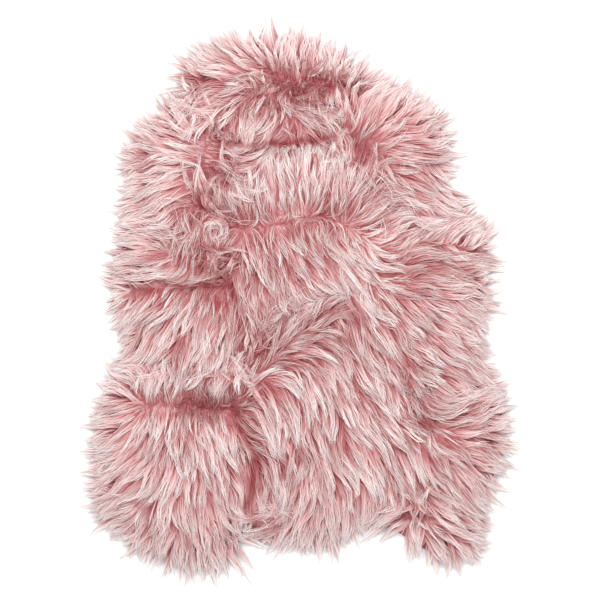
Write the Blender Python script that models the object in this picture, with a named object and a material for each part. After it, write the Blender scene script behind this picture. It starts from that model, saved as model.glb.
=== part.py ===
"""A shag rug cut like a sheepskin, lying flat: one lumpy slab of long pile with pointed locks round its rim.

Frame: metres, +Z up, the head of the pelt towards +Y, the origin under the middle of the rug, on the floor.
Places in the tables are in millimetres from that origin, and headings are degrees, anticlockwise from +X.
"""

import math
from collections import namedtuple

import bpy
import numpy as np
from mathutils.bvhtree import BVHTree
from mathutils.geometry import delaunay_2d_cdt

MM = 0.001

# Driving sizes
WIDTH = 0.700  # over the tips of the pile
LENGTH = 0.900
LOFT = 0.044  # how high the lying pile stands, away from partings
RIM_WALL = 0.017  # how thick the pile still is where the rim locks leave it
RIM_SLOPE = 0.085  # how far in from the rim the pile reaches its loft
WALL_SIZES = (0.85, 1.15)  # the least and the most of the rim wall, as shares of its height
RELIEF_SLOPE = 0.030  # how far in from the rim the tufts stand out in full
PARTING_DROP = 0.017  # how deep a parting of strength 1 sinks
PARTING_WIDTH = 0.021
MEETING_RISE = 0.006  # how far the pile is pushed up where two combings meet
MEETING_SURE = 0.6  # combings meet where the flow is less sure than this
TUFT_LENGTH = 0.082
TUFT_WIDTH = 0.036
TUFT_PITCH = 0.040
TUFT_RISE = 0.014
TUFT_JITTER = 0.28  # as a share of the pitch
TUFT_SIZES = (0.75, 1.2)  # the smallest and the largest, as shares of the sizes above
TUFT_CREST = 0.82  # where along a tuft it is highest, as a share of its length
TUFT_END = 1.12  # and where it has dropped away
TUFT_FLANK = 1.25  # how far across its half width a tuft has dropped away
TUFT_POINTS = (  # along a tuft, as a share of its length, and across it, as a share of its width
    (0.84, 0.0), (1.10, 0.0), (0.82, 0.34), (0.82, -0.34),
    (0.58, 0.0), (0.55, 0.46), (0.55, -0.46), (0.30, 0.0),
)
ROW_SHARE = 0.87  # between the rows of a staggered lattice, as a share of its pitch
WANDER = 0.004  # how far partings stray from their lines
SHORT_WAVE, LONG_WAVE = (0.021, 0.024), (0.05, 0.06)  # of that straying, for x and y
POINT_GAP = 0.0073  # the nearest that two points of the top surface may lie
LATTICE_GAP = 0.0117  # between the points that fill what the tufts' own points leave open
FLOW_NEAR = 0.009  # a parting or combing takes over the flow from about this near
PARTING_CORE = 0.006  # in a parting itself, other combings have the say
RIM_FACETS = 148  # two locks leave each facet of the rim
FACET_SIZES = (0.75, 1.25)  # the shortest and the longest facet, as shares of the mean
CURVE_STEPS = 12  # on each span of the rim's curve
LOCK_REACH = 0.044  # how far the longest rim lock stands out from the rim
LOCK_SIZES = (0.6, 1.0)  # the shortest and the longest, as shares of that, before any is shortened
LOCK_SHORTEST = 0.010
SHORTENING = 0.9  # in each round, of a lock that runs into another
ROUNDS = 60
LOCK_LEAN = math.radians(42)  # the most that a rim lock leans along the rim
LOCK_FAN = math.radians(5)  # how far the low and the high lock of a facet lean apart
LOCK_JITTER = math.radians(6)
LOCK_BEND = 0.16  # sideways, as a share of the reach
LOCK_CLEARANCE = 0.0004
LOCK_STATIONS = (  # share of the reach, and width as a share of the root's
    (0.36, 0.70), (0.70, 0.40), (1.0, 0.0),
)
TIP_HEIGHT = 0.0005  # of a low lock, whose tip lies on the floor
HIGH_TIP_SHARE = 0.45  # how high a high lock's tip hangs, as a share of its root
UNDER_GAP = 0.055  # between the points of the flat underside
SEED = 11
PILE_COLOUR = (0.66, 0.36, 0.36, 1.0)
PILE_ROUGHNESS = 0.8

Parting = namedtuple("Parting", "name x0 y0 x1 y1 strength")
Combing = namedtuple("Combing", "x0 y0 x1 y1 heading0 heading1")

# Where the pile falls away to all sides, as lines from (x0, y0) to (x1, y1)
PARTINGS = [
    Parting("crown", -45, 366, 60, 352, 1.0),
    Parting("brow", -80, 328, 85, 336, 0.8),
    Parting("temple", -175, 333, -160, 330, 0.5),
    Parting("left_shoulder", -150, 246, -150, 206, 1.1),
    Parting("left_elbow", -165, 150, -145, 152, 0.7),
    Parting("left_flank", -200, 72, -160, 74, 0.8),
    Parting("left_waist", -265, 20, -105, 28, 0.9),
    Parting("left_thigh", -240, -163, -110, -166, 1.1),
    Parting("left_hock", -256, -317, -250, -317, 0.5),
    Parting("saddle", -100, 114, 80, 120, 1.1),
    Parting("right_shoulder", 92, 250, 106, 243, 1.1),
    Parting("right_rib", 190, 92, 285, 86, 0.7),
    Parting("right_flank", 116, 30, 120, 44, 0.8),
    Parting("ridge", -60, -108, 85, -22, 1.0),
    Parting("right_knee", 172, -108, 180, -102, 0.4),
    Parting("right_hip", 204, -196, 212, -197, 1.2),
    Parting("right_hock", 180, -344, 205, -342, 1.0),
    Parting("seam", -78, -235, -70, -350, 0.6),
]

# How the pile lies between the partings: the heading turns from heading0 to heading1 along each line
COMBINGS = [
    Combing(-140, 410, 60, 410, 125, 78),
    Combing(60, 400, 200, 330, 75, 38),
    Combing(-100, 385, -100, 345, 150, 182),
    Combing(-160, 395, -190, 350, 118, 105),
    Combing(-90, 300, 74, 290, -100, -72),
    Combing(-145, 275, -250, 290, 105, 148),
    Combing(-200, 255, -200, 200, 165, 200),
    Combing(-270, 250, -285, 120, 172, 195),
    Combing(-130, 230, -110, 185, -25, -25),
    Combing(-300, 75, -295, 0, 187, 188),
    Combing(-112, 85, -150, 50, 230, 260),
    Combing(-110, 40, -250, 42, 200, 175),
    Combing(-240, 0, -120, 0, 215, 258),
    Combing(-290, -30, -280, -70, 200, 215),
    Combing(-220, -70, -105, -60, 234, 262),
    Combing(-300, -125, -180, -130, 160, 75),
    Combing(-310, -160, -325, -280, 180, 195),
    Combing(-270, -200, -120, -200, 215, 284),
    Combing(-260, -270, -125, -290, 222, 289),
    Combing(-310, -310, -300, -370, 180, 222),
    Combing(-250, -370, -110, -400, 238, 282),
    Combing(-70, -215, -60, -245, -38, -45),
    Combing(-110, 150, -60, 140, 118, 98),
    Combing(-70, 200, 65, 200, 76, 88),
    Combing(90, 160, 160, 118, 72, 28),
    Combing(95, 92, 180, 85, -45, 38),
    Combing(85, 295, 230, 290, 98, 34),
    Combing(220, 262, 245, 150, 6, -30),
    Combing(135, 200, 190, 170, -42, -42),
    Combing(220, 118, 310, 115, 22, 32),
    Combing(160, 48, 300, 30, 6, -14),
    Combing(140, 10, 290, -10, -40, -28),
    Combing(130, -50, 290, -75, -52, -36),
    Combing(200, -110, 300, -130, -40, -38),
    Combing(-80, 70, 85, 60, -88, -58),
    Combing(-50, -60, 60, -5, 72, 46),
    Combing(-40, -92, 50, -56, 36, -12),
    Combing(-30, -115, 90, -75, -50, -63),
    Combing(-40, -170, 150, -150, -70, -61),
    Combing(-10, -290, 150, -280, 258, 282),
    Combing(-40, -375, 90, -370, 215, 266),
    Combing(180, -170, 195, -250, -58, -60),
    Combing(245, -172, 320, -155, 28, 20),
    Combing(250, -220, 320, -240, -28, -36),
    Combing(220, -275, 290, -300, -52, -52),
    Combing(230, -350, 260, -400, -32, -48),
    Combing(190, -385, 120, -350, -78, -145),
]

# The rim of the slab, clockwise from the head, where the rim locks have their roots
RIM_POINTS = [
    (0, 415), (45, 402), (82, 385), (112, 361), (190, 322), (222, 296), (236, 266), (239, 200),
    (250, 162), (280, 132), (303, 108), (306, 84), (300, 55), (302, 0), (294, -50), (297, -102),
    (315, -135), (328, -168), (330, -210), (316, -280), (297, -316), (292, -360), (288, -392), (266, -411),
    (236, -413), (202, -398), (170, -378), (137, -358), (110, -347), (88, -360), (62, -381), (20, -387),
    (-28, -380), (-68, -370), (-88, -378), (-106, -403), (-140, -419), (-198, -414), (-243, -397),
    (-282, -371), (-312, -340), (-321, -300), (-320, -200), (-311, -148), (-297, -117), (-279, -92),
    (-276, -60), (-283, -25), (-296, 5), (-294, 45), (-276, 130), (-268, 180), (-273, 222), (-266, 254),
    (-243, 279), (-190, 326), (-181, 368), (-160, 393), (-124, 413), (-78, 420), (-40, 419),
]


def smooth_loop(points, spacing):
    """Points along a closed Catmull-Rom curve through these points, spaced in the ratios of spacing."""
    ring = np.array(points, float) * MM
    before, after, beyond = np.roll(ring, 1, 0), np.roll(ring, -1, 0), np.roll(ring, -2, 0)
    fine = []
    for step in np.linspace(0, 1, CURVE_STEPS, endpoint=False):
        fine.append(
            0.5
            * (
                2 * ring
                + (after - before) * step
                + (2 * before - 5 * ring + 4 * after - beyond) * step**2
                + (3 * ring - before - 3 * after + beyond) * step**3
            )
        )
    curve = np.stack(fine, axis=1).reshape(-1, 2)
    closed = np.vstack([curve, curve[:1]])
    along = np.concatenate([[0], np.cumsum(np.linalg.norm(np.diff(closed, axis=0), axis=1))])
    steps = np.cumsum(spacing)
    at = steps / steps[-1] * along[-1]
    return np.stack([np.interp(at, along, closed[:, k]) for k in range(2)], axis=1)


def nearest_on_line(points, line):
    """(from the line's nearest point to each point, how far that is, how far along the line it lies)."""
    start = np.array([line.x0, line.y0]) * MM
    run = np.array([line.x1, line.y1]) * MM - start
    share = np.clip((points - start) @ run / (run @ run), 0, 1)
    away = points - start - share[:, None] * run
    return away, np.linalg.norm(away, axis=1), share


def pile_flow(points):
    """The way the pile lies at each point, as unit vectors, and how surely: near 0 where it parts."""
    pull, weight = np.zeros_like(points), np.zeros(len(points))
    for parting in PARTINGS:
        away, far, _ = nearest_on_line(points, parting)
        near = parting.strength * (1 - np.exp(-((far / PARTING_CORE) ** 2))) / (far**2 + FLOW_NEAR**2) ** 2
        pull += away / np.maximum(far, 1e-9)[:, None] * near[:, None]
        weight += near
    for combing in COMBINGS:
        _, far, share = nearest_on_line(points, combing)
        heading = np.radians(combing.heading0 + (combing.heading1 - combing.heading0) * share)
        near = 1 / (far**2 + FLOW_NEAR**2) ** 2
        pull += np.stack([np.cos(heading), np.sin(heading)], axis=1) * near[:, None]
        weight += near
    size = np.linalg.norm(pull, axis=1)
    return pull / np.maximum(size, 1e-12)[:, None], size / weight


def rim_distance(points, rim):
    """How far each point is from the rim's polygon."""
    best = np.full(len(points), np.inf)
    for start, end in zip(rim, np.roll(rim, -1, 0)):
        run = end - start
        share = np.clip((points - start) @ run / (run @ run), 0, 1)
        best = np.minimum(best, np.linalg.norm(points - start - share[:, None] * run, axis=1))
    return best


def inside(points, rim):
    """Whether each point lies within the rim's polygon."""
    found = np.zeros(len(points), bool)
    for (x0, y0), (x1, y1) in zip(rim, np.roll(rim, -1, 0)):
        spans = (y0 > points[:, 1]) != (y1 > points[:, 1])
        rise = y1 - y0 if y1 != y0 else 1e-12
        found ^= spans & (points[:, 0] < (x1 - x0) * (points[:, 1] - y0) / rise + x0)
    return found


def tuft_roots(rim, rng):
    """A staggered, jittered lattice of the tufts' roots, with the way each tuft lies and its own size."""
    rows = np.arange(-LENGTH / 2, LENGTH / 2, TUFT_PITCH * ROW_SHARE)
    columns = np.arange(-WIDTH / 2, WIDTH / 2, TUFT_PITCH)
    roots = np.array([(x + TUFT_PITCH / 2 * (j % 2), y) for j, y in enumerate(rows) for x in columns])
    roots += rng.uniform(-TUFT_JITTER, TUFT_JITTER, roots.shape) * TUFT_PITCH
    roots = roots[inside(roots, rim)]
    way, _ = pile_flow(roots)
    return roots, way, rng.uniform(*TUFT_SIZES, len(roots))


def eased(share):
    """0 up to share 0 and 1 from share 1 on, rising smoothly between them."""
    share = np.clip(share, 0, 1)
    return share * share * (3 - 2 * share)


def tuft_relief(points, tufts):
    """How far the highest tuft over each point raises it: a tuft swells, then drops away at its tip."""
    relief = np.zeros(len(points))
    for root, way, size in zip(*tufts):
        apart = points - root
        along = apart @ way / (TUFT_LENGTH * size)
        across = np.abs(apart[:, 0] * way[1] - apart[:, 1] * way[0])
        half_width = TUFT_WIDTH / 2 * size * np.sqrt(np.clip(TUFT_END - along, 0.01, 1))
        body = eased(along / TUFT_CREST) * eased((TUFT_END - along) / (TUFT_END - TUFT_CREST))
        relief = np.maximum(relief, TUFT_RISE * size * body * eased(TUFT_FLANK - across / half_width))
    return relief


def wandered(points):
    """The points moved a little to and fro, so that what is drawn from straight lines comes out crooked."""
    x, y = points[:, 0], points[:, 1]
    (short_x, short_y), (long_y, long_x) = SHORT_WAVE, LONG_WAVE
    aside = np.sin(y / short_x + 2 * np.sin(x / long_x))
    forth = np.sin(x / short_y + 2 * np.sin(y / long_y))
    return points + WANDER * np.stack([aside, forth], axis=1)


def pile_height(points, rim, tufts):
    """The height of the pile's top: it rises from the rim, sinks at partings and swells between them."""
    from_rim = rim_distance(points, rim)
    height = RIM_WALL + (LOFT - RIM_WALL) * np.sin(np.clip(from_rim / RIM_SLOPE, 0, 1) * math.pi / 2)
    crooked = wandered(points)
    sunk = np.zeros(len(points))
    for parting in PARTINGS:
        _, apart, _ = nearest_on_line(crooked, parting)
        sunk = np.maximum(sunk, parting.strength * np.exp(-((apart / PARTING_WIDTH) ** 2)))
    _, sure = pile_flow(crooked)
    meeting = np.clip(1 - sure / MEETING_SURE, 0, 1) * (1 - np.clip(sunk * 3, 0, 1))
    swell = eased(from_rim / RELIEF_SLOPE) * (MEETING_RISE * meeting + tuft_relief(points, tufts))
    return height + swell - PARTING_DROP * sunk * eased(from_rim / RIM_SLOPE * 2)


def top_points(rim, tufts):
    """Points for the top surface, none too near another: those of the tufts first, then a lattice."""
    roots, way, size = tufts
    side = np.stack([-way[:, 1], way[:, 0]], axis=1)
    long, wide = (TUFT_LENGTH * size)[:, None], (TUFT_WIDTH * size)[:, None]
    wanted = [roots + way * long * along + side * wide * across for along, across in TUFT_POINTS]
    rows = np.arange(-LENGTH / 2, LENGTH / 2, LATTICE_GAP)
    columns = np.arange(-WIDTH / 2, WIDTH / 2, LATTICE_GAP)
    wanted.append(np.array([(x, y) for y in rows for x in columns]))
    wanted = np.vstack(wanted)
    wanted = wanted[inside(wanted, rim)]
    wanted = wanted[rim_distance(wanted, rim) > POINT_GAP]
    taken, kept = {}, []
    for x, y in wanted:
        cell = (int(x // POINT_GAP), int(y // POINT_GAP))
        around = [(i, j) for i in range(cell[0] - 1, cell[0] + 2) for j in range(cell[1] - 1, cell[1] + 2)]
        near = [taken[key] for key in around if key in taken]
        if all(math.hypot(x - other[0], y - other[1]) >= POINT_GAP for other in near):
            taken[cell] = (x, y)
            kept.append((x, y))
    return np.array(kept)


def filled_outline(rim, interior):
    """Triangles that fill the rim's polygon through the interior points, anticlockwise from above."""
    count = len(rim)
    places = [tuple(p) for p in np.vstack([rim, interior])]
    edges = [(i, (i + 1) % count) for i in range(count)]
    found = delaunay_2d_cdt(places, edges, [list(range(count))], 1, 1e-7, True)
    points, faces, came_from = found[0], found[2], found[3]
    index = [source[0] for source in came_from]
    middles = np.array([sum((points[i] for i in face), start=points[0] * 0) / 3 for face in faces])
    triangles = []
    for face, within in zip(faces, inside(middles, rim)):
        a, b, c = (points[i] for i in face)
        if within:
            triangles.append([index[i] for i in (face if (b - a).cross(c - a) > 0 else reversed(face))])
    return triangles


def lock_rings(root, way, reach, low, bend):
    """A rim lock's corners at each station out from the wall, narrowing to its tip, which comes last."""
    middle = root.mean(axis=0)
    aside = np.array([-way[1], way[0]])
    end = TIP_HEIGHT if low else HIGH_TIP_SHARE * middle[2]
    rings = []
    for share, width in LOCK_STATIONS:
        fall = math.sin(share * math.pi / 2) if low else share**2
        level = middle[:2] + reach * (share * way + bend * share**2 * aside)
        station = np.array([*level, middle[2] + (end - middle[2]) * fall])
        corners = station + (root - middle) * width if width else station[None]
        rings.append(np.maximum(corners, (-np.inf, -np.inf, 0.0)))
    return rings


def lock_faces(corners, first):
    """The faces of a three-sided lock from its root's corners to its tip. Its own points start at first."""
    rings = [list(corners)] + [[first + 3 * i + k for k in range(3)] for i in range(len(LOCK_STATIONS) - 1)]
    tip = first + 3 * (len(LOCK_STATIONS) - 1)
    faces = []
    for near, far in zip(rings, rings[1:]):
        for i in range(3):
            j = (i + 1) % 3
            faces += [[near[j], near[i], far[i]], [near[j], far[i], far[j]]]
    return faces + [[rings[-1][(i + 1) % 3], rings[-1][i], tip] for i in range(3)]


def rim_locks(rim, wall_top, rng):
    """Two locks for each facet of the rim wall, a low and a high one, as (corners, way, low, bend) rows."""
    count = len(rim)
    ahead = np.roll(rim, -1, 0)
    run = ahead - rim
    outward = np.stack([-run[:, 1], run[:, 0]], axis=1) / np.linalg.norm(run, axis=1)[:, None]
    way, _ = pile_flow((rim + ahead) / 2)
    lean = np.arctan2(outward[:, 0] * way[:, 1] - outward[:, 1] * way[:, 0], (outward * way).sum(axis=1))
    lean = np.clip(lean, -LOCK_LEAN, LOCK_LEAN)
    for _ in range(3):  # neighbours lean alike, so that they don't cross
        lean = (np.roll(lean, 1) + 2 * lean + np.roll(lean, -1)) / 4
    locks = []
    for k in range(count):
        here, there = k, (k + 1) % count
        for low, corners, fan in (
            (True, (here, there, here + count), -LOCK_FAN),
            (False, (there, there + count, here + count), LOCK_FAN),
        ):
            turn = lean[k] - fan + rng.uniform(-LOCK_JITTER, LOCK_JITTER)
            across = np.array([-outward[k, 1], outward[k, 0]])
            toward = outward[k] * math.cos(turn) + across * math.sin(turn)
            locks.append((corners, toward, low, LOCK_BEND * lean[k] / LOCK_LEAN))
    return locks


def grown_locks(points, faces, locks, rng):
    """The locks as long as they may be: any that runs into another, or into the slab, is shortened."""
    reach = LOCK_REACH * rng.uniform(*LOCK_SIZES, len(locks))
    for _ in range(ROUNDS):
        grown, skin, owner = list(points), list(faces), [-1] * len(faces)
        for i, (corners, way, low, bend) in enumerate(locks):
            first = len(grown)
            rings = lock_rings(np.array([points[c] for c in corners]), way, reach[i], low, bend)
            grown += [tuple(map(float, p)) for ring in rings for p in ring]
            new = lock_faces(corners, first)
            skin += new
            owner += [i] * len(new)
        tree = BVHTree.FromPolygons(grown, skin, all_triangles=True, epsilon=LOCK_CLEARANCE)
        crossed = set()
        for one, other in tree.overlap(tree):
            apart = owner[one] != owner[other] and not set(skin[one]) & set(skin[other])
            crossed |= {owner[i] for i in (one, other) if apart and owner[i] >= 0}
        crossed = [i for i in crossed if reach[i] > LOCK_SHORTEST]
        if not crossed:
            return grown, skin
        reach[crossed] *= SHORTENING
    return grown, skin


def build_pelt(rng):
    """The points and faces of the whole rug: flat underside, lumpy top and the locks round its rim."""
    rim = smooth_loop(RIM_POINTS, rng.uniform(*FACET_SIZES, RIM_FACETS))
    tufts = tuft_roots(rim, rng)
    wall_top = RIM_WALL * rng.uniform(*WALL_SIZES, RIM_FACETS)
    top = top_points(rim, tufts)
    under = np.array([(x, y) for y in np.arange(-LENGTH / 2, LENGTH / 2, UNDER_GAP)
                      for x in np.arange(-WIDTH / 2, WIDTH / 2, UNDER_GAP)])
    under = under[inside(under, rim)]
    under = under[rim_distance(under, rim) > UNDER_GAP / 3]

    count = len(rim)
    points = [(float(x), float(y), 0.0) for x, y in rim]
    points += [(float(x), float(y), float(z)) for (x, y), z in zip(rim, wall_top)]
    top_start = len(points)
    points += [(float(x), float(y), float(z)) for (x, y), z in zip(top, pile_height(top, rim, tufts))]
    under_start = len(points)
    points += [(float(x), float(y), 0.0) for x, y in under]

    faces = []
    for face in filled_outline(rim, top):
        faces.append([i + count if i < count else i - count + top_start for i in face])
    for face in filled_outline(rim, under):
        faces.append([i if i < count else i - count + under_start for i in reversed(face)])
    return grown_locks(points, faces, rim_locks(rim, wall_top, rng), rng)


def trimmed_to_size(points):
    """The points moved and stretched a little, so that the rug is WIDTH by LENGTH over its tips."""
    placed = np.array(points)
    low, high = placed[:, :2].min(axis=0), placed[:, :2].max(axis=0)
    placed[:, :2] = (placed[:, :2] - (low + high) / 2) * np.array([WIDTH, LENGTH]) / (high - low)
    return placed


def pile_material():
    material = bpy.data.materials.new("pile")
    material.use_nodes = True
    shader = material.node_tree.nodes["Principled BSDF"]
    shader.inputs["Base Color"].default_value = PILE_COLOUR
    shader.inputs["Roughness"].default_value = PILE_ROUGHNESS
    shader.inputs["Metallic"].default_value = 0.0
    material.diffuse_color = PILE_COLOUR
    return material


def main():
    for old in list(bpy.data.objects):
        bpy.data.objects.remove(old)
    points, faces = build_pelt(np.random.default_rng(SEED))
    mesh = bpy.data.meshes.new("pelt")
    mesh.from_pydata([tuple(p) for p in trimmed_to_size(points)], [], faces)
    mesh.materials.append(pile_material())
    mesh.update()
    pelt = bpy.data.objects.new("pelt", mesh)
    bpy.context.scene.collection.objects.link(pelt)
    print(f"pelt: {len(mesh.vertices)} points, {len(mesh.polygons)} faces")


main()
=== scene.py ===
# %% [markdown]
# # A shag rug cut like a sheepskin
# The rug is one piece of cloth with a very long dusty pink pile. Nearly all that can be seen is the pile:
# locks that lie over one another like the tiles of a roof, dark partings where they fall away to both
# sides, and pale tips. So most of this lesson is about hair: which way it lies, how it gathers in locks,
# and how its colour changes from the root to the tip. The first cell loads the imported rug, which gives the
# frame that all else fits.

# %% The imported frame
import math
from collections import namedtuple

import bpy
import numpy as np
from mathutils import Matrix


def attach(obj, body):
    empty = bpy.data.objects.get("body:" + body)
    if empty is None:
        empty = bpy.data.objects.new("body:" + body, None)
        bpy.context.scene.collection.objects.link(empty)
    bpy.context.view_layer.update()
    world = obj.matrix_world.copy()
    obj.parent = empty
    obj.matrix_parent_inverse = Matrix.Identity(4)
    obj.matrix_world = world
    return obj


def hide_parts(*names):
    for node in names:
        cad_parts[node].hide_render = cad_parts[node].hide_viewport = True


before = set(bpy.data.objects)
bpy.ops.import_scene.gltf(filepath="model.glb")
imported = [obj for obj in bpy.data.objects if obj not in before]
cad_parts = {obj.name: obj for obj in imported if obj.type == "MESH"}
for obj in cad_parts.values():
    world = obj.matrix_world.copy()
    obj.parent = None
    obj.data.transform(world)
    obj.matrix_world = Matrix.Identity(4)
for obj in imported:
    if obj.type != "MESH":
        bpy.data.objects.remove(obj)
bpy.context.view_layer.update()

MM = 0.001
SEED = 4
rng = np.random.default_rng(SEED)

# %% [markdown]
# ## Where the pile parts, and how it is combed
# Real pile of this length never lies one way. It is pushed about in its package and by hand, so it falls
# away from some lines and spots, the partings, and runs along others. A lesson could paint these directions
# with a brush in Blender's particle tools, but then nobody could read or change them. Two short tables are
# clearer: each row is a line on the rug in millimetres, seen from above with the head at the top. Pile
# falls away from each parting, and along each combing it takes the heading that the row gives, in degrees
# anticlockwise from +X.

# %% Table of partings
Parting = namedtuple("Parting", "x0 y0 x1 y1 strength")
PARTINGS = [Parting(*row) for row in (
    (-42, 368, 2, 362, 1.0), (2, 362, 60, 350, 0.8), (-80, 326, 10, 330, 0.9), (45, 345, 85, 338, 0.7),
    (-175, 333, -160, 330, 0.5), (-150, 246, -150, 206, 1.3), (-165, 150, -145, 152, 0.7),
    (-200, 72, -160, 74, 0.8), (-265, 20, -105, 28, 0.9), (-240, -163, -110, -166, 1.2),
    (-256, -317, -250, -317, 0.5), (-105, 121, -90, 114, 1.0), (-90, 114, -37, 124, 1.1),
    (-37, 124, 15, 140, 1.1), (15, 140, 38, 141, 1.0), (38, 141, 78, 121, 1.0), (92, 250, 106, 243, 1.2),
    (78, 121, 84, 119, 0.9), (190, 92, 285, 86, 0.35), (116, 30, 120, 44, 0.8), (-62, -112, -20, -70, 0.6),
    (-20, -70, 10, -50, 0.5), (10, -50, 45, -40, 0.4), (172, -108, 180, -102, 0.3),
    (204, -196, 212, -197, 1.3), (180, -344, 205, -342, 1.0),
)]
print(len(PARTINGS), "partings")

# %% Table of combings
Combing = namedtuple("Combing", "x0 y0 x1 y1 heading0 heading1")
COMBINGS = [Combing(*row) for row in (
    # crown and brow
    (-120, 420, -40, 430, 120, 97), (-40, 425, 60, 410, 97, 80), (60, 410, 110, 380, 80, 55),
    (110, 375, 200, 330, 50, 38), (-100, 385, -100, 345, 150, 182), (-145, 365, -150, 330, 175, 235),
    (-160, 400, -190, 350, 118, 105), (110, 350, 160, 345, 20, 25), (-90, 310, -100, 275, -110, -85),
    (-60, 315, -62, 292, -95, -112), (-38, 292, -62, 262, -122, -136), (-12, 290, -22, 268, -105, -125),
    (-12, 313, 14, 306, -15, -5), (5, 292, 28, 260, -62, -42), (60, 305, 74, 260, -68, -75),
    (-120, 365, -140, 335, 170, 200), (-90, 338, -105, 316, 192, 215),
    # left shoulder and flank
    (-145, 275, -200, 300, 100, 140), (-220, 310, -260, 280, 140, 150), (-200, 255, -200, 215, 165, 190),
    (-270, 250, -275, 190, 172, 188), (-190, 190, -250, 160, 215, 200), (-135, 235, -115, 215, -20, -50),
    (-95, 215, -65, 235, 15, 30), (-110, 190, -85, 180, -30, -20), (-180, 132, -140, 118, 250, 280),
    (-280, 140, -290, 105, 205, 185), (-215, 115, -200, 92, 155, 150), (-260, 90, -260, 60, 170, 190),
    (-300, 60, -300, 30, 185, 178), (-200, 58, -150, 58, 240, 280), (-112, 85, -112, 55, 230, 230),
    (-110, 40, -250, 42, 200, 175), (-275, 20, -295, 0, 185, 195), (-240, 0, -150, 5, 215, 250),
    (-290, -30, -280, -70, 200, 215), (-220, -50, -220, -90, 232, 235), (-160, -40, -160, -90, 250, 250),
    (-110, -20, -105, -80, 265, 262),
    # left thigh
    (-300, -125, -250, -130, 165, 135), (-220, -135, -180, -130, 105, 72), (-160, -135, -110, -135, 95, 85),
    (-310, -160, -310, -200, 178, 195), (-280, -180, -240, -190, 195, 235),
    (-215, -185, -180, -190, 255, 275), (-150, -200, -120, -200, 283, 285),
    (-320, -230, -320, -280, 200, 195), (-260, -240, -260, -280, 225, 222),
    (-200, -250, -200, -300, 258, 255), (-140, -250, -125, -310, 285, 290),
    (-310, -310, -330, -330, 180, 188), (-280, -340, -300, -370, 205, 225),
    (-250, -370, -200, -400, 238, 258), (-170, -400, -110, -400, 268, 282),
    (-220, -345, -140, -350, 255, 285), (-245, -300, -240, -330, 218, 240),
    # between thigh and belly
    (-80, -215, -60, -240, -35, -35), (-75, -270, -80, -310, 265, 255), (-95, -340, -60, -335, 20, 10),
    (-60, -365, -40, -375, 195, 200), (-108, -230, -102, -290, -72, -78),
    # saddle
    (-120, 160, -90, 130, 118, 112), (-70, 140, -70, 210, 98, 75), (-30, 140, -30, 220, 92, 85),
    (20, 150, 20, 220, 75, 80), (60, 160, 65, 220, 80, 88), (-95, 60, -98, 20, 245, 262),
    (-75, 90, -70, 20, -85, -85), (-40, 90, -35, 20, -68, -75), (0, 95, 10, 20, -55, -72),
    (40, 95, 60, 30, -55, -62), (75, 95, 90, 40, -60, -58),
    # right shoulder and flank
    (90, 160, 105, 190, 75, 65), (110, 140, 150, 130, 45, 25), (120, 115, 160, 112, 25, 30),
    (95, 95, 115, 78, -50, -35), (130, 72, 180, 85, -5, 38), (210, 115, 280, 120, 20, 25),
    (85, 290, 65, 300, 95, 120), (110, 290, 150, 300, 65, 48), (180, 300, 220, 290, 38, 35),
    (150, 255, 150, 240, 15, -5), (220, 260, 225, 230, 5, -8), (140, 215, 130, 190, -38, -50),
    (190, 210, 190, 180, -35, -45), (240, 190, 245, 150, -25, -30), (180, 150, 210, 140, -42, -30),
    (290, 135, 310, 115, 42, 30), (220, 70, 290, 65, 0, 0), (150, 48, 200, 45, 10, 0),
    (250, 40, 300, 30, -5, -15), (150, 20, 180, 0, -32, -38), (220, 5, 290, -10, -18, -30),
    (120, 10, 150, -60, -55, -55), (200, -40, 270, -50, -38, -38), (290, -50, 295, -100, -38, -32),
    (200, -90, 260, -110, -42, -35), (230, -130, 300, -130, -40, -38),
    # ridge and belly
    (-48, -88, -32, -62, 76, 66), (-20, -48, 5, -30, 60, 50), (10, -30, 45, -18, 48, 38),
    (0, -12, 45, 4, 48, 38), (-54, -105, -25, -80, 44, 40), (-20, -66, 15, -54, 35, 24),
    (22, -48, 52, -50, 10, -35), (-40, -104, -5, -92, 22, 4), (0, -80, 30, -72, 4, -22),
    (-40, -118, -12, -110, 0, -40), (8, -100, 32, -88, -40, -62), (46, -68, 62, -90, -58, -70),
    (62, -8, 72, -35, -86, -84), (90, -40, 100, -70, -75, -62), (-20, -125, 20, -125, -62, -80),
    (-40, -150, -30, -220, -68, -72), (10, -150, 0, -220, -80, -85), (50, -130, 100, -130, -70, -58),
    (120, -100, 160, -150, -60, -62), (90, -200, 150, -200, -66, -60), (40, -200, 50, -250, -80, -62),
    (0, -260, -10, -330, 262, 250), (60, -280, 70, -330, -65, -88), (110, -250, 150, -250, -80, -75),
    (100, -330, 150, -310, -92, -105), (20, -340, 30, -390, 250, 262), (60, -380, 90, -370, 270, 265),
    (-30, -350, -30, -385, 215, 235),
    # right hip and leg
    (175, -130, 178, -90, -55, -55), (180, -170, 195, -215, -60, -50), (240, -172, 310, -155, 28, 22),
    (250, -195, 320, -195, 0, -5), (250, -220, 320, -240, -28, -35), (230, -250, 290, -280, -52, -50),
    (180, -230, 190, -290, -60, -65), (220, -285, 230, -300, -50, -50), (260, -310, 290, -320, -62, -52),
    (230, -350, 280, -370, -28, -38), (260, -410, 220, -400, -48, -58), (190, -380, 160, -380, -75, -92),
    (160, -335, 120, -345, 192, 205),
)]
print(len(COMBINGS), "combings")

# %% [markdown]
# ## One flow out of two tables
# Between the drawn lines the pile has to lie some way too. So each row pulls at every point of the rug, the
# more the nearer it is, and the pile follows the sum of all pulls. Where they disagree the sum is short,
# and that tells how surely the pile lies that way. No real parting is straight, so the points are moved a
# little to and fro before they are measured against the rows, which is simpler than drawing every line
# crooked.

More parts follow.
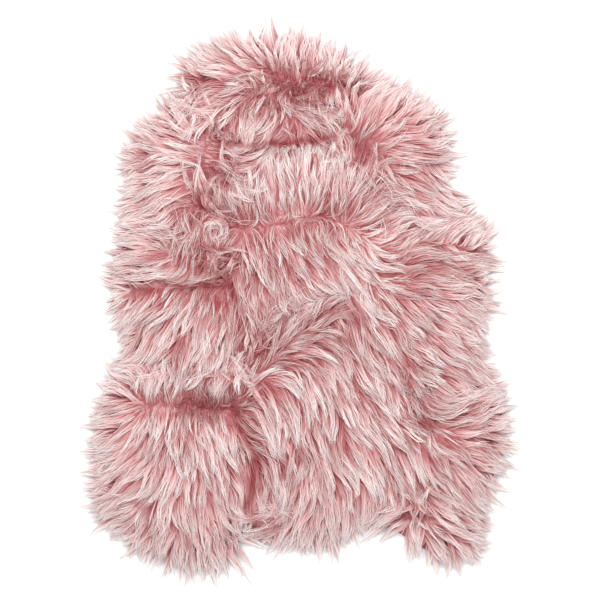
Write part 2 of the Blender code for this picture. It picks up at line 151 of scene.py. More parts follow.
# %% How far a point is from a drawn line
def nearest_on_line(points, line):
    """(from the line's nearest point to each point, how far that is, how far along the line it lies)."""
    start = np.array([line.x0, line.y0]) * MM
    run = np.array([line.x1, line.y1]) * MM - start
    share = np.clip((points - start) @ run / (run @ run), 0, 1)
    away = points - start - share[:, None] * run
    return away, np.linalg.norm(away, axis=1), share


_, far, _ = nearest_on_line(np.zeros((1, 2)), PARTINGS[0])
print("the middle of the rug is", far.round(3), "m from the first parting")

# %% Drawn lines made crooked
WANDER = 0.0026  # metres that a full wave moves a point
SWAY_X = (0.021, 0.06, 0.009, 0.013)  # for x: a slow wave, its own bend, a quick wave and its slant
SWAY_Y = (0.024, 0.05, 0.008, -0.012)  # the same for y


def sway(along, across, slow, bend, quick, slant):
    """A slow wave that is bent itself, with a quick one laid aslant over it."""
    return np.sin(along / slow + 2 * np.sin(across / bend)) + 0.5 * np.sin(along / quick + across / slant)


def wandered(points):
    """The points moved a little to and fro, so that what is drawn from straight lines comes out crooked."""
    x, y = points[:, 0], points[:, 1]
    return points + WANDER * np.stack([sway(y, x, *SWAY_X), sway(x, y, *SWAY_Y)], axis=1)


print("the point at (100, 100) mm wanders to", (wandered(np.array([[0.1, 0.1]]))[0] / MM).round(1), "mm")

# %% The flow of the pile at any point
FLOW_NEAR = 0.009  # metres: nearer than this, one row of the tables has nearly all the say
PARTING_CORE = 0.006  # nearer than this, a parting loses its pull


def pile_flow(points):
    """The way the pile lies at each point, as unit vectors, and how surely: near 0 where it parts."""
    points = wandered(points)
    pull, weight = np.zeros_like(points), np.zeros(len(points))
    for parting in PARTINGS:
        away, far, _ = nearest_on_line(points, parting)
        near = parting.strength * (1 - np.exp(-((far / PARTING_CORE) ** 2))) / (far**2 + FLOW_NEAR**2) ** 2
        pull += away / np.maximum(far, 1e-9)[:, None] * near[:, None]
        weight += near
    for combing in COMBINGS:
        _, far, share = nearest_on_line(points, combing)
        heading = np.radians(combing.heading0 + (combing.heading1 - combing.heading0) * share)
        near = 1 / (far**2 + FLOW_NEAR**2) ** 2
        pull += np.stack([np.cos(heading), np.sin(heading)], axis=1) * near[:, None]
        weight += near
    size = np.linalg.norm(pull, axis=1)
    return pull / np.maximum(size, 1e-12)[:, None], size / weight


way, sure = pile_flow(np.array([[0.0, 0.2], [0.0, 0.117]]))
print("on the saddle the pile lies", way[0].round(2), "and at its parting it is", sure[1].round(2), "sure")

# %% [markdown]
# ## The outline and the height of the pile
# The cloth is cut in the outline of a pelt. The solid rug of the frame has its rim a little inside the
# pile's edge, and its rim points serve here too: the cloth ends inside them and the tips of the pile lie
# outside. The height is also the solid's: the pile stands as high as its loft allows, sinks at the
# partings, is pushed up where two combings meet, and falls to the floor outside the rim.

# %% Rim points of the solid rug, clockwise from the head, in millimetres
RIM_POINTS = [
    (0, 415), (45, 402), (82, 385), (112, 361), (190, 322), (222, 296), (236, 266), (239, 200),
    (250, 162), (280, 132), (303, 108), (306, 84), (300, 55), (302, 0), (294, -50), (297, -102),
    (315, -135), (328, -168), (330, -210), (316, -280), (297, -316), (292, -360), (288, -392), (266, -411),
    (236, -413), (202, -398), (170, -378), (137, -358), (110, -347), (88, -360), (62, -381), (20, -387),
    (-28, -380), (-68, -370), (-88, -378), (-106, -403), (-140, -419), (-198, -414), (-243, -397),
    (-282, -371), (-312, -340), (-321, -300), (-320, -200), (-311, -148), (-297, -117), (-279, -92),
    (-276, -60), (-283, -25), (-296, 5), (-294, 45), (-276, 130), (-268, 180), (-273, 222), (-266, 254),
    (-243, 279), (-190, 326), (-181, 368), (-160, 393), (-124, 413), (-78, 420), (-40, 419),
]


def smooth_loop(points, per_span):
    """A closed Catmull-Rom curve through the points, with per_span points on each span."""
    ring = np.array(points, float) * MM
    before, after, beyond = np.roll(ring, 1, 0), np.roll(ring, -1, 0), np.roll(ring, -2, 0)
    spans = []
    for step in np.linspace(0, 1, per_span, endpoint=False):
        spans.append(0.5 * (2 * ring + (after - before) * step
                            + (2 * before - 5 * ring + 4 * after - beyond) * step**2
                            + (3 * ring - before - 3 * after + beyond) * step**3))
    return np.stack(spans, axis=1).reshape(-1, 2)


POINTS_PER_SPAN = 4
RIM = smooth_loop(RIM_POINTS, POINTS_PER_SPAN)
rim_run = np.linalg.norm(np.roll(RIM, -1, 0) - RIM, axis=1).sum()
print("the rim has", len(RIM), "points and is", rim_run.round(2), "m long")

# %% How far outside the rim a point lies
def outside_rim(points):
    """How far each point is outside the solid's rim, and below 0 inside it."""
    best = np.full(len(points), np.inf)
    within = np.zeros(len(points), bool)
    for (x0, y0), (x1, y1) in zip(RIM, np.roll(RIM, -1, 0)):
        run = np.array([x1 - x0, y1 - y0])
        share = np.clip((points - (x0, y0)) @ run / (run @ run), 0, 1)
        best = np.minimum(best, np.linalg.norm(points - (x0, y0) - share[:, None] * run, axis=1))
        rise = y1 - y0 if y1 != y0 else 1e-12
        crossing = run[0] * (points[:, 1] - y0) / rise + x0
        within ^= ((y0 > points[:, 1]) != (y1 > points[:, 1])) & (points[:, 0] < crossing)
    return np.where(within, -best, best)


head_out = outside_rim(np.array([[0.0, 0.45]]))[0] / MM
print("the head's tip is", head_out.round(1), "mm outside the solid's rim")

# %% Height of the pile
LOFT = 0.046
RIM_HEIGHT = 0.017
RIM_SLOPE = 0.085  # over this way in from the rim, the pile rises to its loft
PARTING_DROP = 0.016
PARTING_WIDTH = 0.020
STRONGEST = 1.1  # a parting that is stronger than this sinks no deeper
MEETING_RISE = 0.010
MEETING_SURE = 0.6  # combings meet where the flow is less sure than this
OUTER_FALL = 0.018  # outside the rim, the pile's height falls to a third within this


def pile_height(points):
    """The height of the pile's top over each point."""
    out = outside_rim(points)
    height = RIM_HEIGHT + (LOFT - RIM_HEIGHT) * np.sin(np.clip(-out / RIM_SLOPE, 0, 1) * math.pi / 2)
    sunk = np.zeros(len(points))
    for parting in PARTINGS:
        _, apart, _ = nearest_on_line(wandered(points), parting)
        depth = np.minimum(parting.strength, STRONGEST) * np.exp(-((apart / PARTING_WIDTH) ** 2))
        sunk = np.maximum(sunk, depth)
    _, sure = pile_flow(points)
    meeting = np.clip(1 - sure / MEETING_SURE, 0, 1) * (1 - np.clip(sunk * 3, 0, 1))
    deep = np.clip(-out / RIM_SLOPE * 2, 0, 1)
    height += deep * (MEETING_RISE * meeting - PARTING_DROP * sunk)
    return height * np.where(out > 0, np.exp(-np.maximum(out, 0) / OUTER_FALL), 1)


print("height on the saddle:", pile_height(np.array([[0.0, 0.2]]))[0].round(3), "and in its parting:",
      pile_height(np.array([[0.0, 0.117]]))[0].round(3))

# %% [markdown]
# ## Materials
# The pile is one dyed fibre, yet its roots look deep rose and its tips nearly white, because light reaches
# the tips and is soaked up among the roots, and because the tips are dyed paler. So the colour follows two
# numbers of each strand: how pale a strand it is, and how far along it a point lies. Both are kept in the
# strand's own UV map, u for the strand's tone and v from root to tip, and the shader reads nothing else.
# That also lets the export bake it, however the strands overlap.

# %% Helpers for shader nodes
SHEEN_ROUGHNESS = 0.4
SHEEN_TINT = (1.0, 0.78, 0.76, 1.0)
SPECULAR = 0.1  # dry fibre has next to no gloss


def new_material(name, roughness, sheen):
    material = bpy.data.materials.new(name)
    material.use_nodes = True
    shader = material.node_tree.nodes["Principled BSDF"]
    shader.inputs["Roughness"].default_value = roughness
    shader.inputs["Sheen Weight"].default_value = sheen
    shader.inputs["Sheen Roughness"].default_value = SHEEN_ROUGHNESS
    shader.inputs["Sheen Tint"].default_value = SHEEN_TINT
    shader.inputs["Specular IOR Level"].default_value = SPECULAR
    return material, material.node_tree, shader


def node(tree, kind, x, y, **values):
    """A new node at (x, y): values set its properties, or its inputs by name, with _ for a space."""
    made = tree.nodes.new(kind)
    made.location = (x, y)
    for key, value in values.items():
        if hasattr(made, key):
            setattr(made, key, value)
        else:
            made.inputs[key.replace("_", " ")].default_value = value
    return made


def colour_stops(ramp, stops):
    """Fills a Color Ramp from (place, colour) rows."""
    while len(ramp.color_ramp.elements) < len(stops):
        ramp.color_ramp.elements.new(0.5)
    for element, (place, colour) in zip(ramp.color_ramp.elements, stops):
        element.position = place
        element.color = (*colour, 1.0)


print("every finish starts with a gloss of", SPECULAR)

# %% Pile fibre
DEEP_ROSE = [(0.0, (0.24, 0.033, 0.038)), (0.2, (0.35, 0.085, 0.09)),
             (0.6, (0.46, 0.22, 0.215)), (1.0, (0.60, 0.46, 0.45))]
PALE_BLUSH = [(0.0, (0.45, 0.13, 0.135)), (0.2, (0.61, 0.33, 0.33)),
              (0.6, (0.79, 0.68, 0.665)), (1.0, (0.84, 0.865, 0.85))]
STREAKS = (900.0, 6.0, 1.0)  # fine from strand to strand, slow along each
STREAK_SAY = 0.9  # how much the streaks change a strand's tone


def pile_material():
    """Two ramps from root to tip, mixed by the strand's tone and by fine streaks."""
    material, tree, shader = new_material("dusty_pink_pile", 0.5, 0.0)
    uv = node(tree, "ShaderNodeUVMap", -1100, 0, uv_map="OFBake")
    parts = node(tree, "ShaderNodeSeparateXYZ", -900, 0)
    tree.links.new(uv.outputs["UV"], parts.inputs[0])
    ramps = []
    for y, stops in ((200, DEEP_ROSE), (-60, PALE_BLUSH)):
        ramp = node(tree, "ShaderNodeValToRGB", -560, y)
        colour_stops(ramp, stops)
        tree.links.new(parts.outputs["Y"], ramp.inputs["Fac"])
        ramps.append(ramp)
    streak = node(tree, "ShaderNodeTexNoise", -900, -300, noise_dimensions="2D", Scale=1.0, Detail=3.0)
    stretch = node(tree, "ShaderNodeMapping", -1000, -300, Scale=STREAKS)
    tree.links.new(uv.outputs["UV"], stretch.inputs["Vector"])
    tree.links.new(stretch.outputs["Vector"], streak.inputs["Vector"])
    shifted = node(tree, "ShaderNodeMath", -740, -420, operation="SUBTRACT")
    shifted.inputs[1].default_value = STREAK_SAY / 2
    tree.links.new(parts.outputs["X"], shifted.inputs[0])
    tone = node(tree, "ShaderNodeMath", -560, -330, operation="MULTIPLY_ADD")
    tone.inputs[1].default_value = STREAK_SAY
    tree.links.new(streak.outputs["Fac"], tone.inputs[0])
    tree.links.new(shifted.outputs[0], tone.inputs[2])
    mix = node(tree, "ShaderNodeMix", -240, 60, data_type="RGBA", clamp_factor=True)
    tree.links.new(tone.outputs[0], mix.inputs["Factor"])
    tree.links.new(ramps[0].outputs["Color"], mix.inputs["A"])
    tree.links.new(ramps[1].outputs["Color"], mix.inputs["B"])
    tree.links.new(mix.outputs["Result"], shader.inputs["Base Color"])
    return material


PILE = pile_material()
print(PILE.name, "has", len(PILE.node_tree.nodes), "nodes")

# %% [markdown]
# ## The cloth and the wool
# The cloth's underside is like suede, and the short wool at the foot of the pile is only guessed at between
# the locks. Neither has strands of its own, so their colour is a fibrous noise that stands still in space,
# on Object coordinates, and a fine bump. Painted pictures would do as well, but a noise has no seams.

# %% Colour that stands still in space
MOTTLED = (0.35, 0.65)  # the noise's values at which the two shades are full


def cloth_material(name, low, high, scale, bump, roughness):
    """Two shades mottled by fibrous noise on Object coordinates, with a fine bump."""
    material, tree, shader = new_material(name, roughness, 0.3)
    place = node(tree, "ShaderNodeTexCoord", -900, 0)
    noise = node(tree, "ShaderNodeTexNoise", -700, 0, Scale=scale, Detail=6.0, Roughness=0.6)
    ramp = node(tree, "ShaderNodeValToRGB", -480, 60)
    colour_stops(ramp, list(zip(MOTTLED, (low, high))))
    rise = node(tree, "ShaderNodeBump", -240, -200, Strength=0.6, Distance=bump)
    tree.links.new(place.outputs["Object"], noise.inputs["Vector"])
    tree.links.new(noise.outputs["Fac"], ramp.inputs["Fac"])
    tree.links.new(ramp.outputs["Color"], shader.inputs["Base Color"])
    tree.links.new(noise.outputs["Fac"], rise.inputs["Height"])
    tree.links.new(rise.outputs["Normal"], shader.inputs["Normal"])
    return material


# The wool has the roots' deep rose: partly its own dye, partly painted shade of the depth it lies at.
UNDERWOOL = cloth_material("underwool", (0.30, 0.085, 0.09), (0.40, 0.15, 0.155), 120.0, 0.001, 0.9)
SUEDE = cloth_material("suede_backing", (0.55, 0.42, 0.38), (0.66, 0.53, 0.48), 900.0, 0.0004, 0.85)
print("underwool and suede are ready")

# %% [markdown]
# ## The backing cloth
# Under the pile lies one cloth, cut a little inside the rim so that the pile hides its edge. It is a thin
# closed sheet, filled between its outline and a lattice by a Delaunay triangulation, which keeps its
# triangles even. The same helper makes the underwool, so it takes a height for every point.

# %% A closed sheet from an outline
from mathutils.geometry import delaunay_2d_cdt


LATTICE_ROW = 0.87  # between the rows of even triangles, as a share of their sides
HALF_WIDTH, HALF_LENGTH = 0.35, 0.45


def triangular(half_width, half_length, gap):
    """Points over a rectangle, in even triangles with sides of this gap."""
    rows = enumerate(np.arange(-half_length, half_length, gap * LATTICE_ROW))
    row = np.arange(-half_width, half_width, gap)
    return np.array([(x + gap / 2 * (j % 2), y) for j, y in rows for x in row])


def closed_sheet(name, out, gap, bottom, top):
    """A mesh whose outline runs this far outside the rim; top gives the height over an array of points."""
    run = np.roll(RIM, -1, 0) - np.roll(RIM, 1, 0)
    aside = np.stack([-run[:, 1], run[:, 0]], axis=1) / np.linalg.norm(run, axis=1)[:, None]
    edge = RIM + aside * out
    inner = triangular(HALF_WIDTH, HALF_LENGTH, gap)
    points = np.vstack([edge, inner[outside_rim(inner) < out - gap * 0.7]])
    rounds = [(i, (i + 1) % len(edge)) for i in range(len(edge))]
    found = delaunay_2d_cdt([tuple(p) for p in points], rounds, [], 0, 1e-7, True)
    places, faces, source = found[0], found[2], found[3]
    middles = np.array([[sum(places[i][k] for i in face) / 3 for k in range(2)] for face in faces])
    kept = [[source[i][0] for i in face] for face, far in zip(faces, outside_rim(middles)) if far < out]
    count = len(points)
    upper = np.column_stack([points, top(points)])
    lower = np.column_stack([points, np.full(count, bottom)])
    skin = []
    for a, b, c in kept:
        one, two = points[b] - points[a], points[c] - points[a]
        a, b, c = (a, b, c) if one[0] * two[1] - one[1] * two[0] > 0 else (a, c, b)
        skin += [(a, b, c), (a + count, c + count, b + count)]
    skin += [(i, j, j + count, i + count) for i, j in rounds]
    mesh = bpy.data.meshes.new(name)
    mesh.from_pydata([tuple(map(float, p)) for p in np.vstack([upper, lower])], [], skin)
    mesh.update()
    return mesh


def add_piece(mesh, material, smooth=True):
    piece = bpy.data.objects.new(mesh.name, mesh)
    bpy.context.scene.collection.objects.link(piece)
    if material:
        mesh.materials.clear()
        mesh.materials.append(material)
    mesh.polygons.foreach_set("use_smooth", [smooth] * len(mesh.polygons))
    return piece


print("a lattice of 20 mm has", len(triangular(HALF_WIDTH, HALF_LENGTH, 0.02)), "points")

# %% Backing
CLOTH = 0.002
CLOTH_INSET = 0.022
BACKING_GAP = 0.02
backing = add_piece(
    closed_sheet("backing", -CLOTH_INSET, BACKING_GAP, 0.0, lambda p: np.full(len(p), CLOTH)), SUEDE, False)
print("the backing has", len(backing.data.polygons), "faces")

# %% Underwool
WOOL_SHARE = 0.72  # of the pile's height
WOOL_LEAST = 0.05  # of that, at the wool's edge
WOOL_SLOPE = 0.05  # over this way in from its edge, the wool rises to its full height
WOOL_SKIRT = -0.003  # below 0, because the wool's edge lies inside the solid's rim
WOOL_GAP = 0.008
WOOL_LIFT = 0.001  # clear of the cloth


def wool_height(points):
    """The height of the short dense wool that the long pile grows through."""
    full = np.clip((WOOL_SKIRT - outside_rim(points)) / WOOL_SLOPE, WOOL_LEAST, 1)
    return CLOTH + WOOL_LIFT + WOOL_SHARE * pile_height(points) * full


underwool = add_piece(closed_sheet("underwool", WOOL_SKIRT, WOOL_GAP, CLOTH, wool_height), UNDERWOOL)
print("underwool has", len(underwool.data.polygons), "faces")

# %% [markdown]
# ## Guides: the middle line of each lock
# Hair of this length gathers in locks, and a lock follows the flow from its root: first up through the
# pile, then along on top of its neighbours. Each guide is traced step by step, and turns only slowly
# towards the flow, as a springy fibre does. Where combings meet the steps shorten, so the hair piles up
# there. Locks whose roots are close together draw nearer to each other towards their tips, which leaves the
# dark gaps that show in the pile.

# %% Tracing a path along the flow
STEPS = 10
MIDDLE = STEPS // 2
YIELDING = 0.30  # how much of the way to the flow a fibre turns in a step
YIELDING_SURE = 0.7  # it turns less where the flow is less sure than this
SHORTEST_STEP = 0.35  # of a full one, where the flow isn't sure at all
STEP_SURE = 0.5  # steps are full from here on


def turned(headings, angles):
    """Headings turned anticlockwise by these angles."""
    x, y = headings.T
    cos, sin = np.cos(angles), np.sin(angles)
    return np.stack([x * cos - y * sin, x * sin + y * cos], axis=1)


def traced(roots, lengths, bends, turns):
    """Paths from the roots along the flow, as (lock, step, xy); turns are how far off it each sets out."""
    at, path = roots.copy(), [roots.copy()]
    heading = turned(pile_flow(at)[0], turns)
    for _ in range(STEPS):
        flow, sure = pile_flow(at)
        along_it = np.clip((flow * heading).sum(axis=1) * 2, 0, 1)
        yielding = YIELDING * np.clip(sure / YIELDING_SURE, 0, 1) ** 2 * along_it
        heading = turned(heading + (flow - heading) * yielding[:, None], bends / STEPS)
        heading /= np.maximum(np.linalg.norm(heading, axis=1), 1e-9)[:, None]
        stride = SHORTEST_STEP + (1 - SHORTEST_STEP) * np.clip(sure / STEP_SURE, 0, 1)
        at = at + heading * (lengths / STEPS * stride)[:, None]
        path.append(at)
    return np.stack(path, axis=1)


print("a path of 80 mm from the middle ends at",
      (traced(np.zeros((1, 2)), np.array([0.08]), np.zeros(1), np.zeros(1))[0, -1] / MM).round(), "mm")

# %% Valleys: where two combings meet and neither lies over the other
Valley = namedtuple("Valley", "x0 y0 x1 y1")
VALLEYS = [Valley(*row) for row in (
    (-92, 243, -40, 246), (-40, 246, 0, 244), (0, 244, 35, 250), (35, 250, 62, 256), (-40, -30, 0, -10),
    (0, -10, 60, 11),
)]
VALLEY_SLACK = 0.001  # a path may cross by this much


def across_valley(path):
    """Where a path has crossed a valley, as (lock, step) booleans."""
    crossed = np.zeros(path.shape[:2], bool)
    for valley in VALLEYS:
        start, end = np.array([valley.x0, valley.y0]) * MM, np.array([valley.x1, valley.y1]) * MM
        run = (end - start) / np.linalg.norm(end - start)
        apart = path - start
        along = apart @ run
        side = apart[:, :, 0] * run[1] - apart[:, :, 1] * run[0]
        within = (along > 0) & (along < np.linalg.norm(end - start))
        crossed |= within & (np.sign(side) != np.sign(side[:, :1])) & (np.abs(side) > VALLEY_SLACK)
    return crossed


def kept_in_reach(roots, lengths, bends, turns, reach):
    """The paths, with those locks shortened that would lie further over the rim than their reach."""
    path = traced(roots, lengths, bends, turns)
    out = outside_rim(path.reshape(-1, 2)).reshape(path.shape[:2])
    beyond = (out > reach[:, None]) | across_valley(path)
    first = np.where(beyond.any(axis=1), beyond.argmax(axis=1), STEPS)
    return traced(roots, lengths * np.maximum(first, 1) / STEPS, bends, turns)


print(len(VALLEYS), "stretches of valley")

# %% Giving paths their height
GUIDE_RISE = 2.0  # how early a lock rises through the pile
LEAST_HEIGHT = 0.0015


def set_at_height(path, layer):
    """Gives paths their third number: they rise out of the wool to their layer of the pile's height."""
    flat = path.reshape(-1, 2)
    height = pile_height(flat).reshape(path.shape[:2])
    root = wool_height(path[:, 0])[:, None]
    rise = 1 - (1 - np.linspace(0, 1, path.shape[1])) ** GUIDE_RISE
    return np.dstack([path, np.maximum(root + (height * layer[:, None] - root) * rise, LEAST_HEIGHT)])


print("from the wool's top a lock rises by half within a share of",
      round(1 - 0.5 ** (1 / GUIDE_RISE), 2), "of its length")

# %% [markdown]
# ## Locks and tufts
# The pile's edge isn't even: tufts reach further out at the brow and between the legs, and less far at the
# waist. A second row of rim points would say so, but it would have to be drawn as exactly as the first. A
# short table of places where the pile reaches further out, or less far, says it in fewer numbers. The tufts
# come first and are traced like locks. Then each lock is traced from its own root, in its tuft's manner,
# and drawn towards its tuft's middle line, so that a tuft ends in one point and leaves a dark gap beside
# the next.

# %% Table of reaches, in millimetres
Reach = namedtuple("Reach", "x y reach more")
REACHES = [Reach(*row) for row in (
    (30, 430, 60, 15), (100, 385, 40, 12), (-100, 425, 45, 8), (-160, 390, 40, 6), (-235, 300, 40, 4),
    (245, 300, 40, -7), (260, 210, 45, -8), (305, 50, 45, -4), (300, -50, 40, -9), (325, -140, 25, -7),
    (305, -350, 60, -8), (-295, 50, 60, -7), (-295, -60, 40, -4), (-325, -180, 50, -9), (-335, -270, 40, -6),
    (-275, 150, 35, -8), (-105, -385, 35, 18), (-85, -420, 35, 12), (150, -350, 40, 20), (20, -405, 35, -5),
    (260, -430, 45, 6), (-200, -430, 60, 6), (60, -395, 20, 8),
)]


def further_out(places):
    """How much further than elsewhere the tips of these roots may reach, in metres."""
    far = [np.linalg.norm(places / MM - (r.x, r.y), axis=1) / r.reach for r in REACHES]
    return sum(r.more * MM * np.exp(-(f**2)) for r, f in zip(REACHES, far))


print("between the legs it reaches", (further_out(np.array([[-0.105, -0.385]])) / MM).round(1), "mm further")

# %% Lock guides
LOCK_PITCH = 0.0105
TUFT_PITCH = 0.025
TUFT_PULL = 0.6
TUFT_LATE = 1.6  # how late along a lock the pull sets in
PILE_LENGTHS = (0.050, 0.088)
TIP_REACH = (0.003, 0.023)  # how far over the solid's rim the tips lie
TUFT_BEND, TUFT_TURN = 0.5, 0.18  # radians, as standard deviations
LOCK_BEND, LOCK_TURN = 0.3, 0.12  # and so much more from lock to lock
LOCK_LENGTHS = (0.75, 1.1)  # shares of the tuft's length
LOCK_REACHES = (0.6, 1.0)  # shares of the tuft's reach
TUFT_LAYERS = (0.84, 1.03)  # shares of the pile's height
LOCK_LAYERS = (-0.07, 0.07)
FIELD_HALF_WIDTH = 0.36
JITTER = 0.35  # of the pitch, either way


def lattice(pitch, inset, rng):
    """Jittered points inside the rim."""
    points = triangular(FIELD_HALF_WIDTH, HALF_LENGTH, pitch)
    points += rng.uniform(-JITTER, JITTER, points.shape) * pitch
    return points[outside_rim(points) < -inset]


def drawn_together(path, middle):
    """Paths drawn towards their tuft's middle line, most of all at the tip, if they lie the same way."""
    own, shared = path[:, -1] - path[:, 0], middle[:, -1] - middle[:, 0]
    sizes = np.linalg.norm(own, axis=1) * np.linalg.norm(shared, axis=1)
    alike = (own * shared).sum(axis=1) / np.maximum(sizes, 1e-9)
    pull = TUFT_PULL * np.clip(alike * 4 - 3, 0, 1)[:, None] * np.linspace(0, 1, STEPS + 1) ** TUFT_LATE
    return path + (middle - path) * pull[:, :, None]


def lock_guides(pitch, rng):
    """Guides of all locks of the pile, the tuft of each and the layer of the pile that each lies in."""
    roots = lattice(pitch, CLOTH_INSET, rng)
    count = len(roots)
    tufts = lattice(TUFT_PITCH, CLOTH_INSET, rng)
    number = len(tufts)
    nearest = np.argmin(np.linalg.norm(roots[:, None] - tufts[None], axis=2), axis=1)
    reach = rng.triangular(TIP_REACH[0], np.mean(TIP_REACH), TIP_REACH[1], number) + further_out(tufts)
    length = rng.uniform(*PILE_LENGTHS, number)
    bend = rng.normal(0, TUFT_BEND, number)
    turn = rng.normal(0, TUFT_TURN, number)
    middle = kept_in_reach(tufts, length, bend, turn, reach)
    path = kept_in_reach(
        roots, length[nearest] * rng.uniform(*LOCK_LENGTHS, count),
        bend[nearest] + rng.normal(0, LOCK_BEND, count), turn[nearest] + rng.normal(0, LOCK_TURN, count),
        reach[nearest] * rng.uniform(*LOCK_REACHES, count))
    path = drawn_together(path, middle[nearest])
    layer = rng.uniform(*TUFT_LAYERS, number)[nearest] + rng.uniform(*LOCK_LAYERS, count)
    return set_at_height(path, layer), nearest, layer


guides, tuft_of, layers = lock_guides(LOCK_PITCH, rng)
print(len(guides), "locks in", len(set(tuft_of)), "tufts; highest guide", guides[:, :, 2].max().round(3), "m")

# %% [markdown]
# ## Both sides of each parting
# At a parting one looks down to the roots, and the locks that start there lie close together like hair
# along a comb's line. The even lattice of locks is too coarse for that, so a second set is rooted along the
# partings only. Roots are moved against the wander of the flow, so that they sit on the parting as it came
# out.

# %% Parting guides
PARTING_PITCH = 0.0036
PAST_ENDS = 0.009  # locks are set this far past a parting's ends too
PARTING_MORE = 0.020  # and are counted as if the parting were so much longer
PARTING_SIDES = (0.0008, 0.005)  # how far from the parting's line they start
PARTING_LENGTHS = (0.030, 0.062)
PARTING_BEND, PARTING_TURN = 0.5, 0.2
PARTING_LAYERS = (0.86, 1.06)


def parting_guides(spacing, rng):
    roots = []
    for parting in PARTINGS:
        start, end = np.array([parting.x0, parting.y0]) * MM, np.array([parting.x1, parting.y1]) * MM
        length = np.linalg.norm(end - start)
        run = (end - start) / length
        count = int((length + PARTING_MORE) / spacing)
        at = rng.uniform(-PAST_ENDS, length + PAST_ENDS, 2 * count)
        off = np.repeat([-1, 1], count) * rng.uniform(*PARTING_SIDES, 2 * count)
        roots.append(start + run * at[:, None] + np.array([-run[1], run[0]]) * off[:, None])
    roots = np.vstack(roots)
    roots += roots - wandered(roots)
    count = len(roots)
    path = kept_in_reach(
        roots, rng.uniform(*PARTING_LENGTHS, count), rng.normal(0, PARTING_BEND, count),
        rng.normal(0, PARTING_TURN, count), np.full(count, TIP_REACH[0]))
    return set_at_height(path, rng.uniform(*PARTING_LAYERS, count))


beside = parting_guides(PARTING_PITCH, rng)
print(len(beside), "locks beside the partings")

# %% [markdown]
# ## Locks that have curled up
# In two spots a few locks have curled up in a ring. A path that follows the flow never turns back on
# itself, so these rings are drawn as arcs about a middle, each with its own start, length and radius.

# %% Loop curls
Loop = namedtuple("Loop", "x y radius locks")
LOOPS = [Loop(-131, 116, 17, 22), Loop(-60, -354, 14, 10)]
LOOP_START = math.radians(150)
LOOP_ARCS = (2.2, 4.4)  # radians
LOOP_STARTS = 0.9  # radians, as a standard deviation
LOOP_SIZES = (0.55, 1.2)  # shares of the loop's radius
LOOP_ROOT, LOOP_TIPS = 1.1, (0.6, 1.1)  # shares of the lock's own radius, at its root and at its tip
LOOP_SPREAD = 0.004
LOOP_LAYERS = (0.98, 1.1)


def loop_guides(rng):
    paths = []
    for loop in LOOPS:
        for _ in range(loop.locks):
            start = LOOP_START + rng.normal(0, LOOP_STARTS)
            angle = start - np.linspace(0, rng.uniform(*LOOP_ARCS), STEPS + 1)
            size = loop.radius * MM * rng.uniform(*LOOP_SIZES)
            radius = size * np.linspace(LOOP_ROOT, rng.uniform(*LOOP_TIPS), STEPS + 1)
            centre = np.array([loop.x, loop.y]) * MM + rng.normal(0, LOOP_SPREAD, 2)
            paths.append(centre + np.stack([np.cos(angle), np.sin(angle)], axis=1) * radius[:, None])
    return set_at_height(np.array(paths), rng.uniform(*LOOP_LAYERS, len(paths)))


loops = loop_guides(rng)
print(len(loops), "looped locks")

# %% [markdown]
# ## The fringe
# At the rim the pile lies out over the floor in pointed bunches. The even lattice leaves gaps there, so one
# more set of guides starts every few millimetres along the cloth's edge, heads straight out and a little
# along the flow, and ends together in small bunches. Whiskers are the same again, thinner and longer, for
# the single hairs.

# %% Fringe guides and whiskers
FRINGE_PITCH, WHISKER_PITCH = 0.0038, 0.0050
FRINGE_FLOW = 1.0  # how much the fringe is combed along, against straight out
FRINGE_FLOWS = (0.4, 1.0)  # shares of that, from lock to lock
FRINGE_BUNCH = 2.6  # locks that end together
FRINGE_PULL = 0.97
FRINGE_REACH = (0.018, 0.036, 0.054)  # over the rim at least, mostly and at most
FRINGE_SWAY = 0.012
FRINGE_DEPTH = 0.012  # the roots lie up to this far inside the cloth's edge
FRINGE_LAYERS = (0.5, 0.85)
WHISKER_MORE = 0.002


def fringe_guides(spacing, further, rng):
    run = np.roll(RIM, -1, 0) - RIM
    length = np.linalg.norm(run, axis=1)
    count = int(length.sum() / spacing)
    at = np.interp((np.arange(count) + rng.uniform(-0.4, 0.4, count)) * spacing % length.sum(),
                   np.concatenate([[0], np.cumsum(length)]), np.arange(len(RIM) + 1))
    side = at.astype(int) % len(RIM)
    aside = np.stack([-run[:, 1], run[:, 0]], axis=1)[side] / length[side][:, None]
    edge = RIM[side] + run[side] * (at % 1)[:, None]
    roots = edge - aside * (CLOTH_INSET + rng.uniform(0.0, FRINGE_DEPTH, count))[:, None]
    flow, _ = pile_flow(roots)
    heading = flow * (FRINGE_FLOW * rng.uniform(*FRINGE_FLOWS, count))[:, None] + aside
    heading /= np.linalg.norm(heading, axis=1)[:, None]
    bunch = np.cumsum(rng.random(count) < 1 / FRINGE_BUNCH)
    reach = rng.triangular(*FRINGE_REACH, count)[bunch] + further_out(roots) + further
    end = roots + heading * ((reach + CLOTH_INSET) / np.maximum((heading * aside).sum(axis=1), 0.5))[:, None]
    members = np.maximum(np.bincount(bunch), 1)[:, None]
    middle = np.stack([np.bincount(bunch, end[:, k]) for k in (0, 1)], axis=1) / members
    end += (middle[bunch] - end) * FRINGE_PULL
    share = np.linspace(0, 1, STEPS + 1)[None, :, None]
    sway = rng.normal(0, FRINGE_SWAY, count)[bunch][:, None, None] * share * (1 - share)
    sideways = np.stack([-heading[:, 1], heading[:, 0]], axis=1)[:, None]
    path = roots[:, None] * (1 - share) + end[:, None] * share + sway * sideways
    return set_at_height(path, rng.uniform(*FRINGE_LAYERS, count))


fringe = fringe_guides(FRINGE_PITCH, 0.0, rng)
whiskers = fringe_guides(WHISKER_PITCH, WHISKER_MORE, rng)
print(len(fringe), "fringe locks and", len(whiskers), "whiskers")

